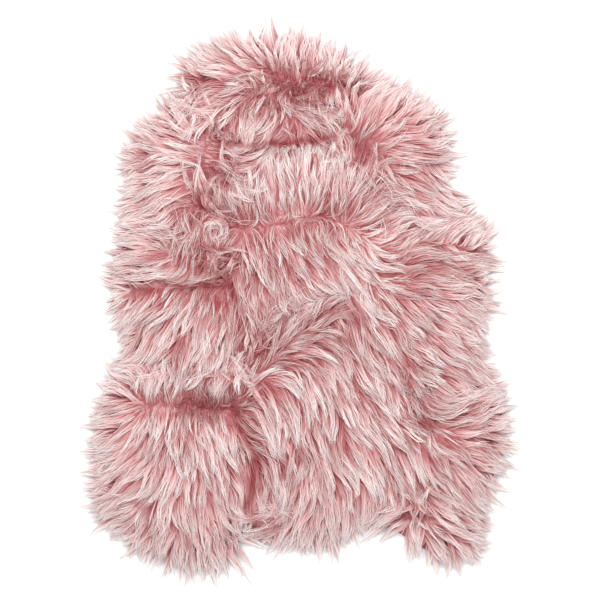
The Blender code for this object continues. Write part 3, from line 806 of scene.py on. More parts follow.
# %% [markdown]
# ## Ruffled spots and flyaway hairs
# Some spots have been rubbed, and their fibre is crimped and matted: short curls that lie every way.
# Elsewhere single long hairs stand off from the rest. Both are too local for the tables of the flow, so two
# more tables list the spots, with the number of curls or hairs for each. The pile itself is wavier near a
# ruffled spot.

# %% Ruffle guides
Ruffle = namedtuple("Ruffle", "x y reach_x reach_y curls pale")
RUFFLES = [Ruffle(*row) for row in (
    (0, 350, 42, 16, 130, -0.25), (70, 344, 24, 10, 40, -0.10), (-30, 318, 60, 12, 40, 0.0),
    (-140, -165, 40, 8, 60, 0.0), (-140, 150, 16, 10, 26, -0.05), (-130, 66, 26, 16, 50, 0.0),
    (-120, 268, 18, 12, 24, 0.0), (-168, 322, 16, 12, 20, -0.05), (182, -128, 12, 34, 30, 0.05),
    (-62, -352, 18, 12, 24, 0.0), (-120, 205, 16, 14, 20, 0.0),
)]
RUFFLE_LENGTHS = (0.014, 0.036)
RUFFLE_BEND, RUFFLE_TURN = 2.6, 1.1
RUFFLE_LAYERS = (0.92, 1.12)
SPOT_SPREAD = 0.6  # standard deviation of the roots, as a share of the spot's reach


def spot_roots(spot, count, rng):
    return (rng.normal(0, SPOT_SPREAD, (count, 2)) * (spot.reach_x, spot.reach_y) + (spot.x, spot.y)) * MM


def ruffle_guides(rng):
    """Guides of the curls, and how much paler or darker each is."""
    roots = np.vstack([spot_roots(spot, spot.curls, rng) for spot in RUFFLES])
    count = len(roots)
    path = traced(roots, rng.uniform(*RUFFLE_LENGTHS, count), rng.normal(0, RUFFLE_BEND, count),
                  rng.normal(0, RUFFLE_TURN, count))
    pale = np.repeat([spot.pale for spot in RUFFLES], [spot.curls for spot in RUFFLES])
    return set_at_height(path, rng.uniform(*RUFFLE_LAYERS, count)), pale


ruffles, ruffle_pale = ruffle_guides(rng)
print(len(ruffles), "ruffled curls")

# %% How wavy the pile is
CRIMP = 1.5
CRIMP_REACH = (1.3, 1.6)  # times the ruffled spot's reach in x and y


def crimp(places):
    """How wavy the pile is at each place: 1 away from the ruffled spots, and 1 + CRIMP in them."""
    wavy = np.zeros(len(places))
    for spot in RUFFLES:
        reach_x, reach_y = spot.reach_x * CRIMP_REACH[0], spot.reach_y * CRIMP_REACH[1]
        far = ((places[:, 0] / MM - spot.x) / reach_x) ** 2 + ((places[:, 1] / MM - spot.y) / reach_y) ** 2
        wavy = np.maximum(wavy, np.exp(-far))
    return 1 + CRIMP * wavy


print("at the brow the pile is", crimp(np.array([[0.0, 0.35]])).round(2), "times as wavy")

# %% Flyaway guides
Flyaways = namedtuple("Flyaways", "x y reach_x reach_y hairs")
FLYAWAYS = [Flyaways(*row) for row in (
    (-175, 118, 45, 18, 60), (125, 160, 30, 32, 80), (-70, -50, 16, 36, 50), (182, -128, 12, 30, 36),
    (25, 292, 36, 16, 50), (-85, -215, 18, 18, 24), (70, 215, 14, 30, 24), (-100, 150, 20, 30, 30),
    (-30, 40, 60, 40, 40),
)]
FLYAWAY_LENGTHS = (0.030, 0.060)
FLYAWAY_BEND, FLYAWAY_TURN = 0.7, 0.9
FLYAWAY_LAYERS = (1.0, 1.14)


def flyaway_guides(rng):
    roots = np.vstack([spot_roots(spot, spot.hairs, rng) for spot in FLYAWAYS])
    count = len(roots)
    path = traced(roots, rng.uniform(*FLYAWAY_LENGTHS, count), rng.normal(0, FLYAWAY_BEND, count),
                  rng.normal(0, FLYAWAY_TURN, count))
    return set_at_height(path, rng.uniform(*FLYAWAY_LAYERS, count))


flyaways = flyaway_guides(rng)
print(len(flyaways), "flyaway hairs")

# %% [markdown]
# ## How pale each lock is
# The pile isn't evenly pink: the saddle's hair, combed up towards the head, shows its pale tips, and it is
# paler still where it slopes towards the lamp at the head, which is painted light. The spots where it has
# been ruffled are dark, and the dark places on partings, furrows and the valley above the saddle are painted
# shade. A painted map would need a picture file, and a short formula can't know the places, so a table adds
# a little to the tone near each of them. Its numbers were set where the render was too pale or too dark.
# Many of the places lie 80 mm apart, because the render and the photograph were compared in squares of that
# size. Every tuft and lock has its own small difference too.

# %% Table of pale and dark places, in millimetres
Tint = namedtuple("Tint", "x y reach_x reach_y pale")
TINTS = [Tint(*row) for row in (
    (-5, 195, 85, 55, 0.42), (0, 238, 65, 14, 0.2), (25, -5, 42, 12, 0.3), (70, 50, 40, 50, 0.14),
    (-115, -260, 25, 70, 0.12), (-15, -180, 45, 70, 0.10), (210, -225, 25, 60, 0.14),
    (-20, 365, 60, 18, -0.22), (70, 345, 35, 15, -0.16), (-120, 205, 25, 25, -0.18),
    (110, 243, 22, 22, -0.20), (-180, 22, 110, 14, -0.18), (-175, -163, 80, 12, -0.16),
    (-78, -260, 22, 70, -0.16), (90, -15, 22, 22, -0.18), (208, -196, 24, 20, -0.22),
    (195, -342, 30, 14, -0.18), (175, -105, 22, 18, -0.16), (-250, -320, 20, 16, -0.14),
    (0, 265, 75, 14, -0.14), (-150, 70, 50, 25, -0.08), (60, 130, 60, 14, -0.14), (0, 395, 120, 25, -0.04),
    (-165, 370, 30, 40, -0.24), (-250, -275, 60, 45, 0.26), (-40, -275, 35, 40, -0.22),
    (120, 45, 35, 40, 0.24), (205, -365, 40, 25, 0.16), (170, 205, 60, 35, -0.2), (-35, 285, 40, 30, -0.14),
    (-60, -30, 80, 35, -0.14), (-200, -110, 100, 30, 0.14), (45, 125, 45, 35, -0.24),
    (-115, -36, 40, 35, -0.16), (50, -36, 40, 35, -0.14), (205, -36, 40, 35, -0.12),
    (-115, 44, 40, 35, -0.12), (-285, 125, 35, 35, 0.16), (-295, -275, 35, 40, 0.16),
    (45, 125, 40, 30, -0.24), (205, 45, 40, 35, -0.28), (-115, 45, 40, 35, -0.18), (-115, 125, 40, 35, -0.16),
    (-35, 125, 40, 30, -0.12), (-195, 365, 40, 35, -0.18), (-35, 285, 40, 35, -0.18),
    (-35, -115, 40, 35, -0.16), (-35, -275, 40, 35, -0.16), (-35, -35, 40, 35, -0.12),
    (-275, 45, 35, 35, -0.1), (-195, 45, 40, 35, -0.1), (-275, 125, 35, 35, 0.2), (275, -115, 35, 35, 0.12),
    (205, 285, 35, 35, 0.1), (-115, 285, 35, 35, 0.16), (115, 365, 35, 35, 0.14), (205, -355, 40, 30, 0.12),
    (115, -355, 40, 30, 0.14), (123, 45, 35, 35, 0.40), (-117, -196, 35, 35, 0.46),
    (-117, -116, 35, 35, 0.12), (203, -116, 35, 35, 0.2), (-37, 205, 35, 30, 0.35),
    (-197, 205, 35, 30, -0.12), (-117, 285, 30, 30, 0.24), (123, 285, 35, 35, -0.1), (-37, -35, 35, 30, 0.12),
    (-197, -35, 35, 35, -0.1), (123, 125, 35, 35, 0.12), (-197, -275, 35, 35, 0.14),
    (283, -275, 35, 35, 0.14), (0, -275, 50, 35, -0.1), (-197, -355, 40, 30, 0.14), (123, -355, 35, 30, 0.08),
    (115, 385, 40, 25, 0.2), (-60, 225, 40, 30, 0.08), (140, 80, 50, 50, 0.14), (140, -270, 50, 60, 0.16),
    (150, -370, 60, 40, 0.16), (285, -270, 40, 60, 0.16), (0, -60, 30, 30, -0.14), (60, -30, 50, 30, -0.12),
    (-290, -170, 50, 100, 0.14), (-150, -110, 60, 30, 0.12), (110, 90, 40, 45, 0.2), (275, 150, 30, 35, 0.2),
    (-290, -10, 40, 40, 0.2), (-190, 225, 50, 40, 0.12), (-280, 120, 40, 40, 0.15), (190, 30, 60, 60, -0.16),
    (20, 50, 35, 30, -0.12), (140, -340, 50, 30, 0.1), (-285, 80, 35, 70, 0.16), (115, 375, 35, 30, 0.2),
    (-290, -200, 40, 40, 0.12),
)]
print(len(TINTS), "pale and dark places")

# %% The tone of each lock
TONE = 0.63
PARTING_ROSE_AND_SHADE = 0.10  # how much less pale the locks are that start at a parting: partly the roots' own deeper rose, partly painted shade of the parting's hollow
PARTING_ROSE_AND_SHADE_REACH = 0.045
RIM_PALE = 0.48  # how much paler the locks are that end at the rim
RIM_PALE_REACH = 0.03
TUFT_TONE, LOCK_TONE = 0.17, 0.26  # standard deviations from tuft to tuft and from lock to lock
LAYER_PAINTED_LIGHT = 0.5  # painted light: how much paler a lock is for lying a whole pile's height higher, nearer the light
MEAN_LAYER = 0.93


def tones(places, tuft_of, rng):
    """How pale each lock is: the rug's own tone, the tints, and small differences from tuft to tuft."""
    tone = np.full(len(places), TONE)
    for t in TINTS:
        far = ((places[:, 0] / MM - t.x) / t.reach_x) ** 2 + ((places[:, 1] / MM - t.y) / t.reach_y) ** 2
        tone += t.pale * np.exp(-far)
    far = np.min([nearest_on_line(wandered(places), parting)[1] for parting in PARTINGS], axis=0)
    tone -= PARTING_ROSE_AND_SHADE * np.exp(-((far / PARTING_ROSE_AND_SHADE_REACH) ** 2))
    tone += RIM_PALE * np.exp(np.minimum(outside_rim(places), 0) / RIM_PALE_REACH)
    return tone + rng.normal(0, TUFT_TONE, tuft_of.max() + 1)[tuft_of] + rng.normal(0, LOCK_TONE, len(places))


tone = tones(guides[:, MIDDLE, :2], tuft_of, rng) + LAYER_PAINTED_LIGHT * (layers - MEAN_LAYER)
print("tones from", tone.min().round(2), "to", tone.max().round(2))

# %% [markdown]
# ## From guides to strands
# A particle system could grow the hair, but the export wants a mesh. Geometry Nodes do the same job in
# plain sight: each guide is copied once for every strand of its lock, each copy is cut to its own length
# and moved aside at its root, the copies draw together towards the tip, and a narrow tapering ribbon is run
# along each. A ribbon costs two triangles a step, so there can be tens of thousands of them.

# %% Helpers for Geometry Nodes
def wired(tree, kind, *sources, out=0, **settings):
    """A new node fed in order by sockets or plain values; None leaves an input alone. Gives its output."""
    made = tree.nodes.new(kind)
    made.location = (180 * (len(tree.nodes) % 12), -170 * (len(tree.nodes) // 12))
    for key, value in settings.items():
        setattr(made, key, value)
    for socket, source in zip([s for s in made.inputs if s.enabled], sources):
        if isinstance(source, bpy.types.NodeSocket):
            tree.links.new(source, socket)
        elif source is not None:
            socket.default_value = source
    return [s for s in made.outputs if s.enabled][out]


def new_tree(name, inputs):
    """A tree with a geometry going through it and these named inputs, and their sockets by name."""
    tree = bpy.data.node_groups.new(name, "GeometryNodeTree")
    tree.interface.new_socket("Geometry", in_out="INPUT", socket_type="NodeSocketGeometry")
    tree.interface.new_socket("Geometry", in_out="OUTPUT", socket_type="NodeSocketGeometry")
    for key, kind in inputs.items():
        tree.interface.new_socket(key, in_out="INPUT", socket_type="NodeSocket" + kind)
    entry = tree.nodes.new("NodeGroupInput")
    return tree, {socket.name: socket for socket in entry.outputs if socket.name}


def calc(tree, operation, *values):
    return wired(tree, "ShaderNodeMath", *values, operation=operation)


print("helpers for nodes that feed one another")
# %% What the tree is given, and its random numbers
STRAND_INPUTS = {
    "Strands": "Int", "Rows": "Int", "Shortest": "Float", "Root Spread": "Float", "Tip Spread": "Float",
    "Layer": "Float", "Wave": "Float", "Waves": "Float", "Width": "Float", "Tip Width": "Float",
    "Twist": "Float", "Tone Spread": "Float", "Seed": "Int", "Material": "Material",
}
SALTS = {"place": 1, "sprawl": 2, "forth": 3, "level": 4, "waves": 5, "phase": 6, "swing": 7, "paleness": 8,
         "twist": 9, "width": 10}


def chance(tree, given, name, low, high):
    """A random number that is the same all along a strand, and always the same under the same name."""
    index = wired(tree, "GeometryNodeInputIndex")
    seed = calc(tree, "ADD", given["Seed"], float(SALTS[name]))
    number = wired(tree, "FunctionNodeRandomValue", low, high, index, seed, data_type="FLOAT")
    return wired(tree, "GeometryNodeFieldOnDomain", number, data_type="FLOAT", domain="CURVE")


def times(tree, *values):
    result = values[0]
    for value in values[1:]:
        result = calc(tree, "MULTIPLY", result, value)
    return result


def read(tree, name, kind="FLOAT"):
    return wired(tree, "GeometryNodeInputNamedAttribute", name, data_type=kind)


def kept(tree, geometry, name, value, domain="POINT", kind="FLOAT"):
    return wired(
        tree, "GeometryNodeStoreNamedAttribute", geometry, None, name, value, data_type=kind, domain=domain)


print(len(STRAND_INPUTS), "inputs and", len(SALTS), "random numbers for each strand")

# %% Strands: copies of each guide, cut to length
def cut_copies(tree, given):
    curve = wired(tree, "GeometryNodeMeshToCurve", given["Geometry"])
    curve = wired(tree, "GeometryNodeDuplicateElements", curve, None, given["Strands"], domain="SPLINE")
    index = wired(tree, "GeometryNodeInputIndex")
    cut = wired(
        tree, "FunctionNodeRandomValue", given["Shortest"], 1.0, index, given["Seed"], data_type="FLOAT")
    curve = kept(tree, curve, "cut", cut, domain="CURVE")
    curve = wired(tree, "GeometryNodeTrimCurve", curve, None, 0.0, read(tree, "cut"), mode="FACTOR")
    return wired(tree, "GeometryNodeResampleCurve", curve, None, given["Rows"], mode="COUNT")


print("each guide becomes as many strands as its piece asks for, between Shortest and 1 of its length")

# %% Strands moved aside from their guide
LOWEST = 0.0008  # no strand dips below this


def vector(tree, operation, *sources):
    return wired(tree, "ShaderNodeVectorMath", *sources, operation=operation)


def scaled(tree, arrow, size):
    result = vector(tree, "SCALE", arrow)
    tree.links.new(size, result.node.inputs["Scale"])
    return result


def moved_aside(tree, given, curve, along):
    """Apart at the root, together at the tip, swinging in waves, above or below the guide by their layer."""
    left = calc(tree, "SUBTRACT", 1.0, along)
    side = read(tree, "side", "FLOAT_VECTOR")
    phase = calc(tree, "ADD", read(tree, "phase"), chance(tree, given, "phase", 0.0, 1.3))
    waves = times(tree, given["Waves"], read(tree, "curl"), chance(tree, given, "waves", 0.85, 1.15))
    phase = calc(tree, "MULTIPLY_ADD", along, waves, phase)
    swing = times(tree, given["Wave"], along, chance(tree, given, "swing", 0.6, 1.2))
    place = chance(tree, given, "place", -1.0, 1.0)
    sprawl = times(tree, given["Tip Spread"], along, chance(tree, given, "sprawl", -0.5, 0.5))
    aside = calc(tree, "MULTIPLY_ADD", swing, calc(tree, "SINE", phase), sprawl)
    aside = calc(tree, "MULTIPLY_ADD", times(tree, given["Root Spread"], left), place, aside)
    aside = calc(tree, "MULTIPLY_ADD", times(tree, given["Tip Spread"], along), place, aside)
    forth = times(tree, given["Root Spread"], left, chance(tree, given, "forth", -1.0, 1.0))
    late = calc(tree, "SUBTRACT", 1.6, along)
    lift = times(tree, given["Layer"], along, late, chance(tree, given, "level", -1.0, 1.0))
    lift = calc(tree, "MULTIPLY_ADD", times(tree, swing, 0.35), calc(tree, "COSINE", phase), lift)
    ahead = vector(tree, "CROSS_PRODUCT", side, (0.0, 0.0, 1.0))
    offset = vector(tree, "ADD", scaled(tree, side, aside), scaled(tree, ahead, forth))
    offset = vector(tree, "ADD", offset, wired(tree, "ShaderNodeCombineXYZ", 0.0, 0.0, lift))
    curve = wired(tree, "GeometryNodeSetPosition", curve, None, None, offset)
    floor = vector(tree, "MAXIMUM", wired(tree, "GeometryNodeInputPosition"), (-9.0, -9.0, LOWEST))
    return wired(tree, "GeometryNodeSetPosition", curve, None, floor)


print("no strand dips below", LOWEST / MM, "mm")

# %% The strand's own numbers, kept for its UV map
def numbered(tree, given, curve, along):
    """Keeps the strand's tone, with light painted in for how high the strand lies, and how far along its
    whole lock each row lies, and tilts the strand.
    """
    tone = read(tree, "tone")
    place = chance(tree, given, "place", -1.0, 1.0)
    streak = calc(tree, "SINE", calc(tree, "MULTIPLY_ADD", place, 4.0, times(tree, tone, 40.0)))
    paleness = times(tree, chance(tree, given, "paleness", -1.0, 1.0), 0.2)
    # Painted light: a strand that its level lifts above its guide is paler, one below it darker.
    mixed = calc(tree, "MULTIPLY_ADD", chance(tree, given, "level", -1.0, 1.0), 0.3, paleness)
    mixed = calc(tree, "MULTIPLY_ADD", streak, 0.6, mixed)
    tone = calc(tree, "MULTIPLY_ADD", given["Tone Spread"], mixed, tone)
    # Painted shade, in part: a strand cut short ends down among the others, so its tip keeps more of the
    # root's colour.
    grown = times(tree, along, calc(tree, "MULTIPLY_ADD", read(tree, "cut"), 0.7, 0.3))
    curve = kept(tree, kept(tree, curve, "strand_u", tone), "strand_v", grown)
    curve = wired(tree, "GeometryNodeSetCurveNormal", curve, mode="Z_UP")
    tilt = times(tree, given["Twist"], chance(tree, given, "twist", -1.0, 1.0))
    return wired(tree, "GeometryNodeSetCurveTilt", curve, None, tilt)


print("kept on each strand: strand_u, its tone, and strand_v, from 0 at the root to 1 at the tip of its lock")

# %% A ribbon along each strand, narrowing to its tip
TAPER = 1.7  # how late it narrows
LANE = 3.0  # how wide the strand's lane in the UV map is, for its width
TONE_RANGE = (0.01, 0.97)


def ribboned(tree, given, curve, along):
    ribbon = wired(tree, "GeometryNodeCurvePrimitiveLine", (-0.5, 0.0, 0.0), (0.5, 0.0, 0.0))
    ribbon = kept(tree, ribbon, "lane", wired(tree, "GeometryNodeSplineParameter"))
    body = calc(tree, "SUBTRACT", 1.0, calc(tree, "POWER", along, TAPER))
    rest = calc(tree, "SUBTRACT", 1.0, given["Tip Width"])
    taper = calc(tree, "MULTIPLY_ADD", body, rest, given["Tip Width"])
    width = times(tree, given["Width"], taper, chance(tree, given, "width", 0.6, 1.35))
    mesh = wired(tree, "GeometryNodeCurveToMesh", curve, ribbon, width, False)
    tone = wired(tree, "ShaderNodeClamp", read(tree, "strand_u"), *TONE_RANGE)
    u = calc(tree, "MULTIPLY_ADD", times(tree, read(tree, "lane"), given["Width"]), LANE, tone)
    uv = wired(tree, "ShaderNodeCombineXYZ", u, read(tree, "strand_v"), 0.0)
    return kept(tree, mesh, "OFBake", uv, domain="CORNER", kind="FLOAT2")


print("half way along, a ribbon still has", round(1 - 0.5**TAPER, 2), "of what it loses in width")

# %% The tree that fills a lock with strands
def strand_tree():
    tree, given = new_tree("locks_of_pile", STRAND_INPUTS)
    curve = cut_copies(tree, given)
    along = wired(tree, "GeometryNodeSplineParameter")
    curve = moved_aside(tree, given, curve, along)
    curve = numbered(tree, given, curve, along)
    mesh = ribboned(tree, given, curve, along)
    for name in ("lane", "strand_u", "strand_v", "side", "tone", "curl", "phase", "cut"):
        mesh = wired(tree, "GeometryNodeRemoveAttribute", mesh, name)
    mesh = wired(tree, "GeometryNodeSetShadeSmooth", mesh, None, True)
    mesh = wired(tree, "GeometryNodeRealizeInstances", mesh)
    mesh = wired(tree, "GeometryNodeSetMaterial", mesh, None, given["Material"])
    leave = tree.nodes.new("NodeGroupOutput")
    tree.links.new(mesh, leave.inputs[0])
    return tree


STRANDS = strand_tree()
print("the strand tree has", len(STRANDS.nodes), "nodes")

# %% Guides as a mesh that the tree can read
def guide_mesh(name, paths, tone, curl):
    """Guides as chains of edges, with the attributes that the tree reads on every point."""
    count, rows = paths.shape[:2]
    starts = np.arange(count)[:, None] * rows + np.arange(rows - 1)
    edges = np.stack([starts.ravel(), starts.ravel() + 1], axis=1)
    mesh = bpy.data.meshes.new(name)
    mesh.from_pydata(paths.reshape(-1, 3).tolist(), edges.tolist(), [])
    run = paths[:, -1, :2] - paths[:, 0, :2]
    run /= np.maximum(np.linalg.norm(run, axis=1), 1e-9)[:, None]
    side = np.repeat(np.column_stack([-run[:, 1], run[:, 0], np.zeros(count)]), rows, axis=0)
    mesh.attributes.new("side", "FLOAT_VECTOR", "POINT").data.foreach_set("vector", side.ravel())
    phase = 6.28 * np.sin(paths[:, 0, 0] / 0.031 + 2 * np.sin(paths[:, 0, 1] / 0.043))
    for key, values in (("tone", tone), ("curl", curl), ("phase", phase)):
        mesh.attributes.new(key, "FLOAT", "POINT").data.foreach_set("value", np.repeat(values, rows))
    return mesh


print("each guide has", STEPS + 1, "points")

# %% Growing a piece of pile from guides
def grow(name, paths, tone, curl, **sizes):
    """A plain mesh piece of strands: sizes are the tree's inputs by name, with _ for a space."""
    grower = bpy.data.objects.new(name + "_guides", guide_mesh(name + "_guides", paths, tone, curl))
    bpy.context.scene.collection.objects.link(grower)
    modifier = grower.modifiers.new("strands", "NODES")
    modifier.node_group = STRANDS
    sockets = {item.name: item.identifier for item in STRANDS.interface.items_tree if item.in_out == "INPUT"}
    for key, value in {**sizes, "Material": PILE}.items():
        modifier[sockets[key.replace("_", " ")]] = value
    evaluated = grower.evaluated_get(bpy.context.evaluated_depsgraph_get())
    mesh = bpy.data.meshes.new_from_object(evaluated)
    mesh.name = name
    bpy.data.objects.remove(grower)
    return add_piece(mesh, None)


def triangles(piece):
    return sum(len(p.vertices) - 2 for p in piece.data.polygons)


def told(piece):
    highest = max(v.co.z for v in piece.data.vertices)
    print(piece.name, triangles(piece), "triangles, highest", round(highest, 3))
    return piece


# %% [markdown]
# ## The pile
# The locks are grown in a few pieces from head to foot, so that none is too heavy a mesh. Each lock has
# twelve strands, the fewest that still cover the wool, because every strand costs a dozen triangles.

# %% Pile pieces
PILE_BANDS = ("head", "shoulders", "saddle", "belly", "thighs")
PILE_SIZES = dict(
    Strands=12, Rows=7, Shortest=0.66, Root_Spread=0.0065, Tip_Spread=0.0015, Layer=0.0022, Wave=0.0034,
    Waves=6.5, Width=0.0015, Tip_Width=0.06, Twist=0.5, Tone_Spread=0.20)
order = np.argsort(-guides[:, 0, 1])
pile_pieces = []
for k, (band, chosen) in enumerate(zip(PILE_BANDS, np.array_split(order, len(PILE_BANDS)))):
    curl = crimp(guides[chosen, MIDDLE, :2])
    piece = grow("pile_" + band, guides[chosen], tone[chosen], curl, Seed=k * 100, **PILE_SIZES)
    pile_pieces.append(told(piece))

# %% [markdown]
# ## What fills the pile
# Twelve strands can't fill a lock, and the wool would show through. Two wide ribbons under each lock
# do, at a sixth of the cost. The looped locks and those at the partings are grown like the rest, with their
# own widths and waves, and a little paler or darker, as their place in the light asks.

# %% Lock bodies, loop curls and partings
BODY_DROP = 0.003  # the wide ribbons lie this far below their lock


def grow_single(name, paths, step, paler, **sizes):
    """A piece of locks that belong to no tuft, toned by where their given step lies, and so much paler."""
    tone = tones(paths[:, step, :2], np.zeros(len(paths), int), rng) + paler
    pile_pieces.append(told(grow(name, paths, tone, np.ones(len(paths)), **sizes)))


pile_pieces.append(told(grow(
    "lock_bodies", guides - (0.0, 0.0, BODY_DROP), tone, np.ones(len(guides)),
    Strands=2, Rows=7, Shortest=0.8, Root_Spread=0.004, Tip_Spread=0.001, Layer=0.001, Wave=0.001, Waves=4.0,
    Width=0.0042, Tip_Width=0.05, Twist=0.3, Tone_Spread=0.15, Seed=800)))
grow_single(
    "loop_curls", loops, MIDDLE, 0.2,
    Strands=6, Rows=14, Shortest=0.6, Root_Spread=0.004, Tip_Spread=0.002, Layer=0.003, Wave=0.0016,
    Waves=8.0, Width=0.0011, Tip_Width=0.1, Twist=0.5, Tone_Spread=0.3, Seed=700)
grow_single(
    "partings", beside, MIDDLE, 0.12,
    Strands=9, Rows=6, Shortest=0.6, Root_Spread=0.0035, Tip_Spread=0.0016, Layer=0.0025, Wave=0.002,
    Waves=6.0, Width=0.0014, Tip_Width=0.06, Twist=0.5, Tone_Spread=0.3, Seed=900)

# %% [markdown]
# ## The rim, the ruffled spots and single hairs
# The fringe's strands keep together to the very tip, so its bunches end in points. The ruffles have many
# tight waves instead. Stray hairs are single strands of every kind of guide: half of the locks, the
# flyaways twice over, and the whiskers at the rim. They spread far from their guide, which breaks up the
# tidy locks below them.

# %% Fringe, ruffles and stray hairs
grow_single(
    "fringe", fringe, 0, 0.15,
    Strands=11, Rows=6, Shortest=0.88, Root_Spread=0.006, Tip_Spread=0.0008, Layer=0.002, Wave=0.0012,
    Waves=4.0, Width=0.0015, Tip_Width=0.2, Twist=0.5, Tone_Spread=0.22, Seed=1100)
grow_single(
    "ruffles", ruffles, 0, ruffle_pale,
    Strands=7, Rows=9, Shortest=0.5, Root_Spread=0.005, Tip_Spread=0.0025, Layer=0.003, Wave=0.003,
    Waves=16.0, Width=0.0012, Tip_Width=0.2, Twist=1.2, Tone_Spread=0.35, Seed=1300)
STRAY_SHARE = 0.5
strays = np.vstack([guides[rng.random(len(guides)) < STRAY_SHARE], flyaways, flyaways, whiskers])
grow_single(
    "stray_hairs", strays, MIDDLE, 0.28,
    Strands=1, Rows=8, Shortest=0.75, Root_Spread=0.007, Tip_Spread=0.013, Layer=0.006, Wave=0.004, Waves=6.0,
    Width=0.0010, Tip_Width=0.2, Twist=1.2, Tone_Spread=0.3, Seed=1500)

# %% [markdown]
# ## Painted shade in the depth of the pile
# Light that gets down between the locks has gone through many pink fibres on its way, so a fibre looks a
# deeper rose the deeper it lies, and a shadow in the pile is never grey. Following that light would take a
# very long render, so this shade is painted into the strands' colour instead. Counting is quick: the
# strands' area is shared out over the cells of a grid, and adding up the cells from the top down, each layer
# a little blurred, tells how many layers of fibre lie above every point. Each point of a strand is then moved
# back towards the root's colour by the layers above it, as painted shade.

# %% A grid of cells round the pile
CELL = 0.002
GRID = (36, 500, 400)  # cells in height, from foot to head, and from left to right
GRID_FOOT, GRID_LEFT = 0.5, 0.4  # metres from the middle to the grid's foot and left side


def cells_of(places):
    x, y, z = places.T
    level = np.clip(z / CELL, 0, GRID[0] - 2).astype(int)
    return level, ((y + GRID_FOOT) / CELL).astype(int), ((x + GRID_LEFT) / CELL).astype(int)


def places_of(piece):
    found = np.empty(len(piece.data.vertices) * 3, np.float32)
    piece.data.vertices.foreach_get("co", found)
    return found.reshape(-1, 3)

print("the rug's middle lies in cell", [int(k[0]) for k in cells_of(np.zeros((1, 3)))])

# %% Layers of fibre above each place
SPOTS = 4  # random places on each face that stand for it
SPREAD = 3  # how often each layer is blurred, so that light from the side counts too


def layers_above(pieces, rng):
    """For every cell, how many layers of fibre lie higher than it."""
    density = np.zeros(GRID[0] * GRID[1] * GRID[2], np.float32)
    for piece in pieces:
        places, faces = places_of(piece), len(piece.data.polygons)
        corner = np.empty(faces * 4, np.int32)
        piece.data.polygons.foreach_get("vertices", corner)
        area = np.empty(faces, np.float32)
        piece.data.polygons.foreach_get("area", area)
        a, b, c, d = places[corner.reshape(-1, 4)].transpose(1, 0, 2)
        for _ in range(SPOTS):
            s, t = rng.random((2, faces, 1))
            spots = (a * (1 - s) + b * s) * (1 - t) + (d * (1 - s) + c * s) * t
            cells = np.ravel_multi_index(cells_of(spots), GRID)
            density += np.bincount(cells, area / SPOTS / CELL**2, len(density))
    density = density.reshape(GRID)
    above = np.zeros(GRID, np.float32)
    for level in range(GRID[0] - 2, -1, -1):
        sky = above[level + 1] + density[level + 1]
        for _ in range(SPREAD):
            sky = sum(np.roll(sky, (i, j), (0, 1)) for i in (-1, 0, 1) for j in (-1, 0, 1)) / 9
        above[level] = sky
    return above


above = layers_above(pile_pieces, rng)
print("layers over the floor of the saddle:", above[1, 340:360, 190:210].mean().round(1))

# %% [markdown]
# ## Painted shade along the lines at the roots
# Along a parting one sees a thin dark line, and where a thick tuft lies beside the next there is a broader
# furrow. The layers don't show them, because nothing lies over an open line: it is dark because light
# reaches it only through a narrow slit. That shade is painted as well: a table of furrows takes some of the
# light away from the points near it, and the strands' colour is moved towards the root's by that.

# %% Table of furrows of painted shade, in millimetres
Furrow = namedtuple("Furrow", "x0 y0 x1 y1 width shade")
FURROWS = [Furrow(*row) for row in (
    (-115, 254, -92, 249, 5, 0.5), (-92, 249, -40, 252, 5, 0.75), (-40, 252, 0, 250, 6, 0.85),
    (0, 250, 35, 257, 6.5, 0.85), (35, 257, 62, 262, 6.5, 0.7), (15, 256, 50, 262, 12, 0.35),
    (-90, -196, -68, -252, 8, 0.8), (-68, -252, -76, -320, 10, 0.8), (-76, -320, -64, -352, 9, 0.7),
    (-180, -160, -96, -172, 10, 0.5), (-240, -163, -180, -162, 6, 0.4), (-275, 13, -232, 17, 6, 0.7),
    (-232, 17, -150, 25, 5, 0.6), (-150, 25, -105, 29, 6, 0.6), (-130, 216, -116, 190, 13, 0.6),
    (94, 250, 124, 234, 12, 0.6), (42, 346, 80, 340, 8, 0.55), (-40, 369, 0, 363, 6, 0.6),
    (-80, 326, -15, 331, 6.5, 0.7), (-25, 346, 25, 338, 16, 0.5), (-156, 366, -158, 338, 6, 0.4),
    (90, -12, 100, -28, 12, 0.65), (62, -10, 76, -30, 12, 0.3), (-56, -48, -52, -86, 10, 0.5),
    (25, -63, 45, -63, 6, 0.4), (-5, -90, 8, -108, 8, 0.35), (64, -56, 77, -58, 8, 0.5),
    (-62, -118, -50, -145, 10, 0.5), (-78, -68, -68, -92, 9, 0.4), (198, -190, 216, -202, 9, 0.75),
    (184, -343, 212, -340, 9, 0.5), (168, -96, 180, -126, 10, 0.5), (-260, -317, -240, -323, 8, 0.4),
    (-195, 142, -160, 150, 7, 0.5), (-150, 158, -118, 128, 9, 0.5), (-148, 91, -118, 84, 7, 0.75),
    (-236, 66, -214, 71, 6, 0.5), (-190, 69, -180, 63, 7, 0.5), (-262, 12, -232, 18, 6, 0.5),
    (-150, 60, -138, 52, 8, 0.5), (-144, 6, -128, 12, 9, 0.6), (-112, 36, -103, 6, 8, 0.7),
    (-70, 222, -58, 212, 8, 0.5), (-105, 121, -80, 114, 5, 0.5), (25, 136, 45, 141, 6, 0.4),
)]
print(len(FURROWS), "furrows")

# %% The light that the lines leave, for the painted shade
LINE_SHADE = 0.75  # painted shade of the thin dark line in a parting
LINE_WIDTH = 0.0024
ROOTS_SHOWN = 0.5  # near a parting the roots lie open to the light, and are painted paler by this
ROOTS_REACH = 0.016


